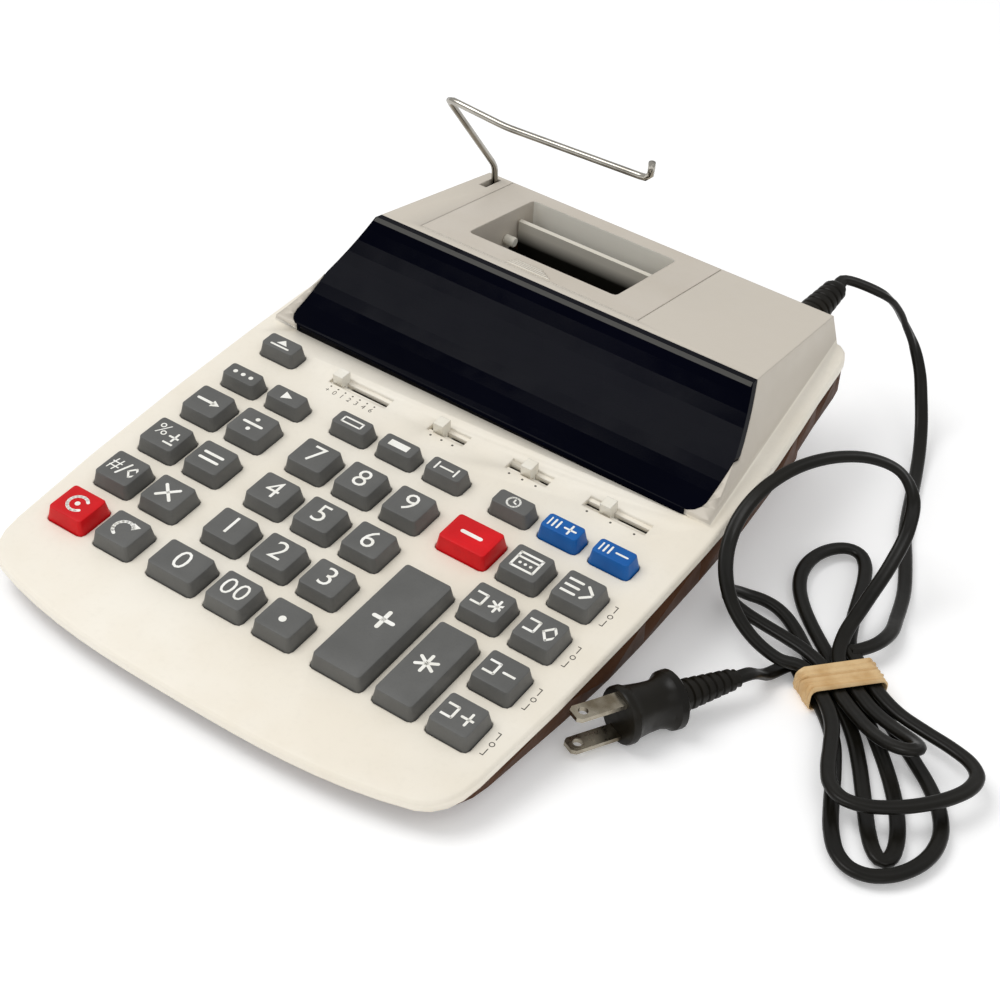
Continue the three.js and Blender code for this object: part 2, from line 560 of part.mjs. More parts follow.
function upperCase(keys) {
  const rim = new THREE.ExtrudeGeometry(new THREE.Shape(inset(outline, EDGE_ROUND)), {
    depth: SKIRT + OVERRUN, bevelEnabled: true, bevelSize: EDGE_ROUND, bevelThickness: EDGE_ROUND, bevelSegments: 2 });
  rim.translate(0, 0, -SKIRT - OVERRUN - EDGE_ROUND);
  const below = box(-across, across, FRONT_EDGE - WALL, BACK_Y + WALL, -REACH, -SKIRT);
  const deck = solidOf(rim).subtract(below);
  const housing = prismX(housingSection(FACE_RADIUS, 0, 0, LENS_FOOT_Y, -DECK_THICKNESS), -across, across)
    .intersect(sideWedge(0));
  const coverLeft = COVER_LEFT - GAP;
  const coverRight = COVER_RIGHT + GAP;
  const ledgeOut = WALL;
  const frame = roofSlab(-OVERRUN, coverDrop + LEDGE_THICKNESS, coverLeft - ledgeOut, coverRight + ledgeOut,
    COVER_FRONT_Y - ledgeOut, BACK_Y + OVERRUN)
    .subtract(roofSlab(-OVERRUN - OVERRUN, REACH, coverLeft + COVER_LEDGE, coverRight - COVER_LEDGE,
      COVER_FRONT_Y + COVER_LEDGE, BACK_Y + WALL));
  const hollowDeck = prismZ(inset(outline, WALL), -SKIRT - OVERRUN, -DECK_THICKNESS);
  const arcFoot = FACE_Y + Math.sqrt(wallBack ** 2 - (FACE_Z + DECK_THICKNESS) ** 2);
  const bossBox = (x0, x1) => box(x0, x1, ARM_SLOT_FRONT_Y + WALL, BACK_Y, HINGE_Z - HINGE_BOSS - GAP,
    roofZ(ARM_SLOT_FRONT_Y));
  const hingeLeft = bossBox(coverLeft - PIN_LENGTH - GAP, coverLeft);
  const hingeRight = bossBox(coverRight, coverRight + HINGE_BOSS);
  const armBoss = box(ARM_X - ARM_AXLE - ARM_BOSS, ARM_X - ARM_BEND_RADIUS - GAP,
    ARM_PIVOT_Y - ARM_BOSS, BACK_Y, ARM_PIVOT_Z - ARM_BOSS, roofZ(ARM_PIVOT_Y - ARM_BOSS));
  const hollow = prismX(housingSection(wallBack, roofDrop, WALL, arcFoot, -DECK_THICKNESS - OVERRUN),
    -across, across).intersect(sideWedge(WALL))
    .subtract(frame).subtract(hingeLeft).subtract(hingeRight).subtract(armBoss).add(hollowDeck);
  const lensPocket = prismX([...arcPoints(pocketBack, LENS_FOOT_Y - WALL, arcRoofY(pocketBack, -WALL)),
    new THREE.Vector2(LENS_FOOT_Y - WALL, ROOF_FRONT_Z + WALL)], -across, across)
    .intersect(prismZ(lensOutline(GAP), -WALL, ROOF_FRONT_Z + WALL));
  const coverHole = roofSlab(-OVERRUN, coverDrop, coverLeft, coverRight, COVER_FRONT_Y - GAP, BACK_Y + OVERRUN)
    .add(box(coverLeft, coverRight, BACK_Y - HINGE_RADIUS * 2 - GAP, BACK_Y + OVERRUN,
      HINGE_Z - HINGE_RADIUS - GAP, roofZ(BACK_Y - WALL)))
    .add(box(coverLeft + COVER_LEDGE, coverRight - COVER_LEDGE, COVER_FRONT_Y + COVER_LEDGE,
      BACK_Y - WALL - OVERRUN, HINGE_Z, ROOF_FRONT_Z));
  const hingeHoles = rodX(PIN_RADIUS + GAP, coverLeft - PIN_LENGTH - GAP, coverRight + PIN_LENGTH + GAP,
    BACK_Y - HINGE_RADIUS, HINGE_Z);
  const armSlot = box(ARM_X - WIRE_RADIUS - GAP, ARM_X + WIRE_RADIUS + GAP, ARM_SLOT_FRONT_Y, ARM_SLOT_BACK_Y,
    ARM_PIVOT_Z, ROOF_FRONT_Z);
  const armHole = rodX(WIRE_RADIUS + GAP, ARM_X - ARM_AXLE - GAP, ARM_X - ARM_BEND_RADIUS, ARM_PIVOT_Y, ARM_PIVOT_Z);
  const reliefHole = new THREE.CylinderGeometry(RELIEF_NECK_RADIUS + GAP, RELIEF_NECK_RADIUS + GAP, WALL * 3, 20);
  reliefHole.translate(RELIEF_X, BACK_Y, RELIEF_Z);
  let body = deck.add(housing).subtract(hollow).subtract(lensPocket).subtract(windowCut(GAP));
  body = body.subtract(keyHoles(keys)).subtract(coverHole).subtract(hingeHoles);
  body = body.subtract(armSlot).subtract(armHole).subtract(solidOf(reliefHole));
  for (const [, place] of switches) body = body.subtract(switchCuts(place));
  return body;
}

// The display tube stands in a window of the wall behind the lens

const faceTilt = Math.atan2(ROOF_FRONT_Z - LENS_FOOT_Z, ROOF_FRONT_Y - LENS_FOOT_Y);

function tubeBlock(grow, front, back) {
  const half = WINDOW_HALF_WIDTH + grow;
  const geometry = new THREE.BoxGeometry(half + half, WINDOW_HEIGHT + grow + grow, back - front);
  geometry.translate(0, 0, -(front + back) / 2);
  geometry.rotateX(faceTilt);
  const middle = (LENS_FOOT_Y + ROOF_FRONT_Y) / 2;
  geometry.translate(0, middle, arcZ(lensBack, middle));
  return solidOf(geometry);
}

function windowCut(grow) {
  return tubeBlock(grow, -WALL, WALL * 4);
}

function displayTube() {
  return tubeBlock(0, GAP + GAP, TUBE_DEPTH);
}

function displayLens() {
  const foot = LENS_FOOT_Y;
  const outer = arcPoints(FACE_RADIUS, foot, ROOF_FRONT_Y);
  const inner = arcPoints(lensBack, foot, arcRoofY(lensBack, 0));
  return prismX([...outer, ...inner.reverse()], -across, across).intersect(sideWedge(0))
    .intersect(prismZ(lensOutline(0), -WALL * 2, ROOF_FRONT_Z + WALL));
}

// Bottom case

function bottomCase(posts) {
  const top = -SKIRT - GAP;
  const flare = (raise) => [new THREE.Vector2(FRONT_EDGE - WALL, -LIP_DEPTH + raise),
    new THREE.Vector2(FLARE_END_Y, -SKIRT_DEPTH + raise), new THREE.Vector2(BACK_Y + WALL, -SKIRT_DEPTH + raise),
    new THREE.Vector2(BACK_Y + WALL, top + OVERRUN), new THREE.Vector2(FRONT_EDGE - WALL, top + OVERRUN)];
  const rim = prismZ(inset(outline, BOTTOM_INSET), -REACH, top)
    .intersect(prismZ(inset(outline, BOTTOM_INSET), -REACH, top).translate([0, FRONT_SETBACK, 0]))
    .intersect(prismX(flare(0), -across, across));
  const rimHollow = prismZ(inset(outline, BOTTOM_INSET + WALL), -REACH, top + OVERRUN)
    .intersect(prismX(flare(FLARE_FLOOR), -across, across));
  const tray = prismZ(shrink(outline, TRAY_INSET), -REACH, top).intersect(aboveDesk(FLOOR_LEVEL));
  const trayHollow = prismZ(shrink(outline, TRAY_INSET + WALL), -REACH, top + OVERRUN)
    .intersect(aboveDesk(FLOOR_LEVEL + FLOOR_THICKNESS));
  let body = rim.add(tray).subtract(rimHollow).subtract(trayHollow);
  const footing = aboveDesk(FLOOR_LEVEL + FLOOR_THICKNESS / 2);
  for (const [x, y, radius, height] of posts) body = body.add(rodZ(radius, x, y, -REACH, height).intersect(footing));
  for (const x of [-FOOT_HALF_SPAN, FOOT_HALF_SPAN]) {
    for (const y of [FOOT_FRONT_Y, FOOT_BACK_Y]) {
      const geometry = new THREE.CylinderGeometry(FOOT_RADIUS, FOOT_RADIUS, FLOOR_LEVEL + FLOOR_THICKNESS / 2, 20);
      geometry.rotateX(Math.PI / 2);
      geometry.translate(x, y, (FLOOR_LEVEL + FLOOR_THICKNESS / 2) / 2);
      geometry.applyMatrix4(deskMatrix);
      body = body.add(solidOf(geometry));
    }
  }
  return body;
}

function keyBoard() {
  return box(-BOARD_HALF_WIDTH, BOARD_HALF_WIDTH, BOARD_FRONT_Y, BOARD_BACK_Y, boardBottom, boardTop);
}

// Printer cover

function printerCover() {
  const plate = roofSlab(0, COVER_THICKNESS, COVER_LEFT, COVER_RIGHT, COVER_FRONT_Y, BACK_Y);
  const opening = prismZ(roundedRectangle(OPENING_LEFT, OPENING_RIGHT, OPENING_FRONT_Y, OPENING_BACK_Y, CHUTE_WALL, 2),
    -REACH, REACH);
  const hingeY = BACK_Y - HINGE_RADIUS;
  const barrel = rodX(HINGE_RADIUS, COVER_LEFT, COVER_RIGHT, hingeY, HINGE_Z);
  const tail = box(COVER_LEFT, COVER_RIGHT, hingeY, BACK_Y, HINGE_Z, roofZ(BACK_Y, COVER_THICKNESS / 2));
  const low = roofZ(OPENING_BACK_Y) - CHUTE_DEPTH;
  const chute = box(OPENING_LEFT - CHUTE_WALL, OPENING_RIGHT + CHUTE_WALL, OPENING_FRONT_Y + CHUTE_WALL,
    OPENING_BACK_Y + CHUTE_WALL, low, ROOF_FRONT_Z)
    .intersect(roofSlab(COVER_THICKNESS / 2, REACH, COVER_LEFT, COVER_RIGHT, COVER_FRONT_Y, BACK_Y));
  const pins = rodX(PIN_RADIUS, COVER_LEFT - PIN_LENGTH, COVER_RIGHT + PIN_LENGTH, hingeY, HINGE_Z);
  return plate.add(barrel).add(tail).add(chute).add(pins).subtract(opening);
}

// Paper arm: an axle, a leg, a forward lean, a sharp bend and a long bar with an upturned tip

function bentWire(corners, radius, bend) {
  const path = new THREE.CurvePath();
  let from = corners[0];
  for (let i = 1; i < corners.length - 1; i++) {
    const back = corners[i - 1].clone().sub(corners[i]).normalize();
    const ahead = corners[i + 1].clone().sub(corners[i]).normalize();
    const start = corners[i].clone().addScaledVector(back, bend);
    const end = corners[i].clone().addScaledVector(ahead, bend);
    path.add(new THREE.LineCurve3(from, start));
    path.add(new THREE.QuadraticBezierCurve3(start, corners[i], end));
    from = end;
  }
  path.add(new THREE.LineCurve3(from, corners[corners.length - 1]));
  const steps = Math.round(path.getLength() / (radius * 2));
  const section = new THREE.Shape(new THREE.EllipseCurve(0, 0, radius, radius).getPoints(10).slice(1));
  return solidOf(new THREE.ExtrudeGeometry(section, { steps, extrudePath: path, bevelEnabled: false }));
}

function paperArm() {
  const point = (x, y, z) => new THREE.Vector3(x, y, z);
  return bentWire([
    point(ARM_X - ARM_AXLE, ARM_PIVOT_Y, ARM_PIVOT_Z), point(ARM_X, ARM_PIVOT_Y, ARM_PIVOT_Z),
    point(ARM_X, ARM_PIVOT_Y, ARM_PIVOT_Z + ARM_KNEE_RISE), point(ARM_X, ARM_BEND_Y, ARM_BEND_Z),
    point(ARM_KINK_X, ARM_BEND_Y, ARM_BEND_Z - ARM_KINK_DROP), point(ARM_TIP_X, ARM_BEND_Y, ARM_BEND_Z),
    point(ARM_TIP_X, ARM_BEND_Y, ARM_BEND_Z + ARM_TIP_RISE + ARM_BEND_RADIUS),
  ], WIRE_RADIUS, ARM_BEND_RADIUS);
}

// Printer

function printerFrame() {
  const left = box(FRAME_LEFT, FRAME_LEFT + FRAME_PLATE, FRAME_FRONT_Y, FRAME_BACK_Y, FRAME_BASE_Z, FRAME_TOP_Z);
  const right = box(FRAME_RIGHT - FRAME_PLATE, FRAME_RIGHT, FRAME_FRONT_Y, FRAME_BACK_Y, FRAME_BASE_Z, FRAME_TOP_Z);
  const base = box(FRAME_LEFT, FRAME_RIGHT, FRAME_FRONT_Y, FRAME_BACK_Y, FRAME_BASE_Z, FRAME_BASE_Z + FRAME_PLATE);
  const bar = box(FRAME_LEFT, FRAME_RIGHT, GUIDE_Y, GUIDE_Y + GUIDE_THICKNESS,
    GUIDE_BAR_Z - GUIDE_BAR_HEIGHT, GUIDE_BAR_Z);
  const guide = box(OPENING_LEFT + GAP + GAP, OPENING_RIGHT - GAP - GAP, GUIDE_Y, GUIDE_Y + GUIDE_THICKNESS,
    GUIDE_BAR_Z - GUIDE_BAR_HEIGHT, GUIDE_TOP_Z);
  const holes = rodX(AXLE_RADIUS + GAP, FRAME_LEFT - OVERRUN, FRAME_RIGHT + OVERRUN, FEED_ROLLER_Y, FEED_ROLLER_Z)
    .add(rodX(AXLE_RADIUS + GAP, FRAME_LEFT - OVERRUN, FRAME_RIGHT + OVERRUN, INK_ROLLER_Y, INK_ROLLER_Z));
  return left.add(right).add(base).add(bar).add(guide).subtract(holes);
}

function roller(radius, y, z) {
  const inner = FRAME_PLATE + GAP;
  return rodX(radius, FRAME_LEFT + inner, FRAME_RIGHT - inner, y, z, 20)
    .add(rodX(AXLE_RADIUS, FRAME_LEFT, FRAME_RIGHT, y, z));
}

// Posts of the bottom case: place, radius and height of the top

function postList() {
  const posts = [];
  const boardTopLevel = boardBottom - GAP;
  for (const x of [-BOARD_HALF_WIDTH + POST_RADIUS * 3, 0, BOARD_HALF_WIDTH - POST_RADIUS * 3]) {
    for (const y of [BOARD_FRONT_Y + POST_RADIUS * 2, BOARD_BACK_Y - POST_RADIUS * 2]) {
      posts.push([x, y, POST_RADIUS, boardTopLevel]);
    }
  }
  for (const x of [FRAME_LEFT + PRINTER_POST_RADIUS * 2, FRAME_RIGHT - PRINTER_POST_RADIUS * 2]) {
    for (const y of [FRAME_FRONT_Y + PRINTER_POST_RADIUS * 2, FRAME_BACK_Y - PRINTER_POST_RADIUS * 2]) {
      posts.push([x, y, PRINTER_POST_RADIUS, FRAME_BASE_Z - GAP]);
    }
  }
  return posts;
}

function transformer() {
  const low = FLOOR_LEVEL + FLOOR_THICKNESS + GAP;
  const place = TRANSFORMER;
  return box(place.left, place.right, place.front, place.back, low, low + place.height);
}

// Strain relief, turned about its own axis and laid along +Y of the deck frame

function strainRelief() {
  const seat = RELIEF_FLANGE + WALL + GAP + GAP;
  const points = [new THREE.Vector2(0, 0), new THREE.Vector2(RELIEF_FLANGE_RADIUS, 0),
    new THREE.Vector2(RELIEF_FLANGE_RADIUS, RELIEF_FLANGE), new THREE.Vector2(RELIEF_NECK_RADIUS, RELIEF_FLANGE),
    new THREE.Vector2(RELIEF_NECK_RADIUS, seat)];
  for (let i = 0; i < RELIEF_RIBS; i++) {
    const share = i / RELIEF_RIBS;
    const radius = THREE.MathUtils.lerp(RELIEF_RADIUS, RELIEF_TIP_RADIUS, share);
    const rib = RELIEF_LENGTH / RELIEF_RIBS;
    const start = seat + rib * i;
    const rise = RELIEF_RIB_DEPTH;
    points.push(new THREE.Vector2(radius, start), new THREE.Vector2(radius, start + rib - rise),
      new THREE.Vector2(radius - rise, start + rib - rise), new THREE.Vector2(radius - rise, start + rib));
  }
  points.push(new THREE.Vector2(0, seat + RELIEF_LENGTH));
  const geometry = new THREE.LatheGeometry(points, 14);
  geometry.translate(RELIEF_X, BACK_Y - WALL - GAP - RELIEF_FLANGE, RELIEF_Z);
  return solidOf(geometry);
}

// Cord

const reliefEnd = new THREE.Vector3(RELIEF_X, BACK_Y + GAP + RELIEF_LENGTH, RELIEF_Z);

function cordSection(sides) {
  const points = [];
  for (let i = 0; i < sides; i++) {
    const angle = (i + 0.5) / sides * Math.PI * 2;
    points.push(new THREE.Vector2(CORD_HEIGHT / 2 * Math.cos(angle), CORD_WIDTH / 2 * Math.sin(angle)));
  }
  return new THREE.Shape(points);
}

// Route of the twin cord, which keeps its broad side level
class CordCurve extends THREE.CatmullRomCurve3 {
  constructor(points) {
    super(points, false, 'centripetal');
  }

  computeFrenetFrames(segments) {
    const frames = { tangents: [], normals: [], binormals: [] };
    const up = new THREE.Vector3(0, 0, 1);
    for (let i = 0; i <= segments; i++) {
      const tangent = this.getTangentAt(i / segments);
      const normal = up.clone().projectOnPlane(tangent).normalize();
      frames.tangents.push(tangent);
      frames.normals.push(normal);
      frames.binormals.push(new THREE.Vector3().crossVectors(tangent, normal));
    }
    return frames;
  }
}

function cordTube(points, sides, steps) {
  const curve = new CordCurve(points);
  return solidOf(new THREE.ExtrudeGeometry(cordSection(sides), { steps, extrudePath: curve, bevelEnabled: false }));
}

// Place in the hank's frame: along the waist, across it and up
const waistAlong = new THREE.Vector3(Math.cos(BAND_TURN), Math.sin(BAND_TURN), 0);
const waistAcross = new THREE.Vector3(-Math.sin(BAND_TURN), Math.cos(BAND_TURN), 0);

function hankPoint(along, acrossBy, up) {
  return new THREE.Vector3(BAND_PLACE.x, BAND_PLACE.y, up)
    .addScaledVector(waistAlong, along).addScaledVector(waistAcross, acrossBy);
}

const strandPitch = CORD_WIDTH + STRAND_GAP;
const layerPitch = CORD_HEIGHT + LAYER_GAP;
const waistReach = BAND_WIDTH / 2 + WAIST_OVERHANG;
const strandAcross = (column) => (column - 1.5) * strandPitch;
const strandUp = (layer) => WAIST_LOW + layer * layerPitch;

// Order of the strands through the band: column and layer
const STRANDS = [[3, 1], [0, 1], [2, 1], [1, 1], [1, 0], [2, 0], [3, 0], [0, 0]];

// Each loop between two strands: its reach along the waist's line, its width, how far it
// leans across, how high its far end lies, and how fully each of its two sides bulges
const LOOPS = [
  { reach: 50.6, width: 45.9, lean: -2.5, height: 9.9, bulge: [1, 1] },
  { reach: -50.9, width: 71.8, lean: 19.7, height: 49.1, bulge: [1.6, 1] },
  { reach: 31.9, width: 6.3, lean: 3.8, height: 13.2, bulge: [1, 1] },
  { reach: -39.6, width: 18.7, lean: -12, height: 6.2, bulge: [1, 1] },
  { reach: 62.8, width: 8.6, lean: -19, height: 2.5, bulge: [1, 1] },
  { reach: -58.4, width: 26, lean: 24.4, height: 3.7, bulge: [1, 1] },
  { reach: 69, width: 32.1, lean: -20.1, height: 3.5, bulge: [1, 1] },
];

function loopPoints(loop, from, to) {
  const points = [];
  const side = Math.sign(loop.reach);
  const turn = strandAcross(from[0]) > strandAcross(to[0]) ? 1 : -1;
  const rise = loop.height - (strandUp(from[1]) + strandUp(to[1])) / 2;
  const steps = 16;
  for (let i = 1; i < steps; i++) {
    const t = i / steps;
    const s = Math.sin(Math.PI * t);
    const bulge = loop.bulge[t < 0.5 ? 0 : 1];
    const along = side * waistReach + loop.reach * s ** bulge;
    const spread = loop.width / 2 * Math.sin(2 * Math.PI * t) * s ** (bulge > 1 ? 0.2 : 0.6);
    const acrossBy = THREE.MathUtils.lerp(strandAcross(from[0]), strandAcross(to[0]), t)
      + turn * spread + loop.lean * s ** 1.5;
    const layer = THREE.MathUtils.lerp(from[1], to[1], THREE.MathUtils.smoothstep(t, 0.4, 0.6));
    points.push(hankPoint(along, acrossBy, strandUp(layer) + rise * s * s));
  }
  return points;
}

function hankPath() {
  const points = [];
  STRANDS.forEach((strand, i) => {
    const down = i % 2 === 0 ? 1 : -1;
    for (const along of [-down, down]) {
      points.push(hankPoint(along * waistReach, strandAcross(strand[0]), strandUp(strand[1])));
    }
    if (i < LOOPS.length) points.push(...loopPoints(LOOPS[i], strand, STRANDS[i + 1]));
  });
  return points;
}

const HANK_STEPS = 168;

function cordHank() {
  return cordTube(hankPath(), 6, HANK_STEPS);
}

function rubberBand() {
  const halfWidth = strandPitch * 2 + GAP;
  const low = WAIST_LOW - CORD_HEIGHT / 2 - GAP;
  const high = WAIST_LOW + layerPitch + CORD_HEIGHT / 2 + BAND_PLAY;
  const ring = roundedRectangle(-halfWidth - BAND_THICKNESS, halfWidth + BAND_THICKNESS,
    low - BAND_THICKNESS, high + BAND_THICKNESS, BAND_THICKNESS * 2.5, 3);
  const hole = roundedRectangle(-halfWidth, halfWidth, low, high, BAND_THICKNESS, 2);
  const shape = new THREE.Shape(ring);
  shape.holes.push(new THREE.Path(hole.reverse()));
  const geometry = new THREE.ExtrudeGeometry(shape, { depth: BAND_WIDTH, bevelEnabled: false });
  geometry.translate(0, 0, -BAND_WIDTH / 2);
  geometry.applyMatrix4(new THREE.Matrix4().makeBasis(waistAcross, new THREE.Vector3(0, 0, 1), waistAlong));
  geometry.translate(BAND_PLACE.x, BAND_PLACE.y, 0);
  return solidOf(geometry);
}

function powerCord() {
  const out = new THREE.Vector3(0, 1, 0).transformDirection(deckMatrix);
  const start = reliefEnd.clone().applyMatrix4(deckMatrix).addScaledVector(out, GAP);
  const lead = start.clone().addScaledVector(out, CORD_WIDTH);
  const hankStart = hankPoint(-waistReach - GAP, strandAcross(3), strandUp(1));
  const hankLead = hankPoint(-waistReach - GAP - CORD_WIDTH, strandAcross(3), strandUp(1));
  const route = [[77.2, 167.3, 52.5], [81.6, 172.8, 46.5], [85, 176.8, 39], [90, 178.5, 31], [95.7, 175.8, 23],
    [100.4, 171, 15.5], [105, 164.5, 9.5], [110, 154.5, 5], [114.8, 142.2, 2.6], [127, 107, 2],
    [134.6, 90.8, 2], [141.3, 75.3, 2], [146, 58.8, 3.5], [148.6, 46.8, 5.6], [147.6, 36.8, 6.6], [143.5, 29.3, 6.6]]
    .map(([x, y, z]) => new THREE.Vector3(x, y, z));
  return [start, lead, ...route, hankLead, hankStart];
}

function plugMatrix() {
  const along = new THREE.Vector3(Math.cos(PLUG_TURN), Math.sin(PLUG_TURN), 0);
  const up = new THREE.Vector3(0, 0, 1);
  const side = new THREE.Vector3().crossVectors(along, up);
  return new THREE.Matrix4().makeBasis(side, along, up).setPosition(PLUG_FACE);
}

function plugLead() {
  const back = new THREE.Vector3(0, -1, 0).transformDirection(plugMatrix());
  const end = PLUG_FACE.clone().addScaledVector(back, PLUG_LENGTH + GAP);
  const endLead = end.clone().addScaledVector(back, CORD_WIDTH);
  const hankEnd = hankPoint(-waistReach - GAP, strandAcross(0), strandUp(0));
  const hankLead = hankPoint(-waistReach - GAP - CORD_WIDTH, strandAcross(0), strandUp(0));
  const route = [[126.5, 2.3, 4.4]].map(([x, y, z]) => new THREE.Vector3(x, y, z));
  return [hankEnd, hankLead, ...route, endLead, end];
}

// Outline of the plug from its face back to the cord: share of its length, radius
const plugProfile = [
  [0, PLUG_RADIUS], [PLUG_BODY_SHARE, PLUG_RADIUS], [PLUG_BODY_SHARE, PLUG_FLANGE_RADIUS],
  [PLUG_FLANGE_SHARE, PLUG_FLANGE_RADIUS], [PLUG_TAPER_SHARE, PLUG_TAPER_RADIUS], [1, PLUG_RELIEF_RADIUS],
];

// Plug lying on its side, with one blade over the other
function plug() {
  const points = plugProfile.map(([share, radius]) => new THREE.Vector2(radius, -PLUG_LENGTH * share));
  const body = [new THREE.Vector2(0, 0), ...points, new THREE.Vector2(0, -PLUG_LENGTH)].reverse();
  let solid = solidOf(new THREE.LatheGeometry(body, PLUG_SIDES));
  for (const z of [-BLADE_SPACING / 2, BLADE_SPACING / 2]) {
    const blade = box(-BLADE_WIDTH / 2, BLADE_WIDTH / 2, -BLADE_ROOT, BLADE_LENGTH,
      z - BLADE_THICKNESS / 2, z + BLADE_THICKNESS / 2);
    const hole = rodZ(BLADE_HOLE_RADIUS, 0, BLADE_LENGTH - BLADE_HOLE_END, z - BLADE_THICKNESS, z + BLADE_THICKNESS);
    solid = solid.add(blade.subtract(hole));
  }
  return solid;
}

// Least gap of the hank to itself, between ring points further apart along the tube than a loop's bend
function leastGap(steps) {
  const curve = new CordCurve(hankPath());
  const centres = curve.getSpacedPoints(steps * 4);
  let least = Infinity;
  const skip = Math.ceil(CORD_WIDTH * 3 / (curve.getLength() / (steps * 4)));
  for (let i = 0; i < centres.length; i++) {
    for (let j = i + skip; j < centres.length; j++) {
      const flat = Math.hypot(centres[i].x - centres[j].x, centres[i].y - centres[j].y) - CORD_WIDTH;
      const tall = Math.abs(centres[i].z - centres[j].z) - CORD_HEIGHT;
      least = Math.min(least, Math.max(flat, tall));
    }
  }
  return least;
}

// Assembly

const keys = keyList();
const part = new THREE.Group();
const deckGroup = new THREE.Group();
deckGroup.position.set(0, -DECK_SETBACK, DECK_LIFT);
deckGroup.rotation.x = DECK_TILT;
part.add(deckGroup);

deckGroup.add(pieceOf('upper_case', 'cream', upperCase(keys)));
deckGroup.add(pieceOf('bottom_case', 'under', bottomCase(postList())));
deckGroup.add(pieceOf('display_lens', 'lens', displayLens()));
deckGroup.add(pieceOf('display_tube', 'steel', displayTube()));
deckGroup.add(pieceOf('printer_cover', 'roof', printerCover()));
deckGroup.add(pieceOf('paper_arm', 'chrome', paperArm()));
deckGroup.add(pieceOf('printer_frame', 'black', printerFrame()));
deckGroup.add(pieceOf('feed_roller', 'rubber', roller(FEED_ROLLER_RADIUS, FEED_ROLLER_Y, FEED_ROLLER_Z)));
deckGroup.add(pieceOf('ink_roller', 'ink', roller(INK_ROLLER_RADIUS, INK_ROLLER_Y, INK_ROLLER_Z)));
deckGroup.add(pieceOf('key_board', 'board', keyBoard()));
for (const key of keys) {
  const mesh = pieceOf(key.name, key.look, keySolid(key.width, key.depth));
  mesh.position.set(key.x + key.width / 2, key.y + key.depth / 2, 0);
  deckGroup.add(mesh);
}
for (const [name, place] of switches) deckGroup.add(pieceOf(`switch_${name}`, 'cream', switchKnob(place)));
deckGroup.add(pieceOf('strain_relief', 'black', strainRelief()));

part.add(pieceOf('transformer', 'steel', transformer()));
part.add(pieceOf('power_cord', 'black', cordTube(powerCord(), 8, 36)));
const hank = pieceOf('cord_hank', 'black', cordHank());
part.add(hank);
console.log(`least gap of the hank to itself: ${leastGap(HANK_STEPS).toFixed(2)} mm`);
part.add(pieceOf('rubber_band', 'band', rubberBand()));
part.add(pieceOf('plug_lead', 'black', cordTube(plugLead(), 8, 8)));
const plugMesh = pieceOf('plug', 'black', plug());
plugMesh.applyMatrix4(plugMatrix());
part.add(plugMesh);

export default part;
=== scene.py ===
import math
import bmesh
import bpy
import numpy as np
from mathutils import Matrix, Vector


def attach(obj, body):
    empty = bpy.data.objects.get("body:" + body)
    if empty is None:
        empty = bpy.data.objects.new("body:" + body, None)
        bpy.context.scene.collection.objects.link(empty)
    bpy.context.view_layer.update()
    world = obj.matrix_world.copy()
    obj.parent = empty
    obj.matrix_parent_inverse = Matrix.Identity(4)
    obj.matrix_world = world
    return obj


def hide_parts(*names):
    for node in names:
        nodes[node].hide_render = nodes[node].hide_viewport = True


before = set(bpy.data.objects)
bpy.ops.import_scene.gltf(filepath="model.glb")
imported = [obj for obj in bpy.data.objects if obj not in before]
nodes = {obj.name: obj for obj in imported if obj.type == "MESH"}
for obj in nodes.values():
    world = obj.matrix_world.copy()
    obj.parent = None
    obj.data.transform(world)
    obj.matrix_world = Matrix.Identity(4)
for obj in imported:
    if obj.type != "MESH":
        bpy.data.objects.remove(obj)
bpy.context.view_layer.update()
MM = 0.001
DECK_TILT = math.radians(8)
DECK_SETBACK, DECK_RISE = 0.0982, 0.0168
DECK = Matrix.Translation((0, -DECK_SETBACK, DECK_RISE)) @ Matrix.Rotation(DECK_TILT, 4, "X")
DESK = DECK.inverted()


# Camera: its lens, place and three directions, in the deck's frame

LENS, SENSOR = 72.32, 36
CAMERA_PLACE = (0.290224, -0.309131, 0.441291)
RIGHT = Vector((0.820101, 0.571394, 0.030716))
DOWN = Vector((0.406716, -0.544304, -0.733699))
AHEAD = Vector((-0.402513, 0.614200, -0.678780))
NEAR, FAR = 0.01, 20


def make_camera():
    data = bpy.data.cameras.new("photo_camera")
    camera = bpy.data.objects.new("photo_camera", data)
    bpy.context.scene.collection.objects.link(camera)
    data.sensor_width = SENSOR
    data.lens = LENS
    data.clip_start, data.clip_end = NEAR, FAR
    turn = Matrix((RIGHT, -DOWN, -AHEAD)).transposed().to_4x4()
    camera.matrix_world = DECK @ Matrix.Translation(CAMERA_PLACE) @ turn
    bpy.context.scene.camera = camera


make_camera()


# Materials

def node_tree(name):
    material = bpy.data.materials.new(name)
    material.use_nodes = True
    tree = material.node_tree
    return material, tree, tree.nodes["Principled BSDF"]


def add(tree, kind, **values):
    node = tree.nodes.new(kind)
    for key, value in values.items():
        if key in node.inputs:
            node.inputs[key].default_value = value
        else:
            setattr(node, key, value)
    return node


def noise(tree, scale, detail=3.0, rough=0.55):
    """Noise over the object's own coordinates."""
    place = add(tree, "ShaderNodeTexCoord")
    node = add(tree, "ShaderNodeTexNoise")
    node.inputs["Scale"].default_value = scale
    node.inputs["Detail"].default_value = detail
    node.inputs["Roughness"].default_value = rough
    tree.links.new(place.outputs["Object"], node.inputs["Vector"])
    return node.outputs["Fac"]


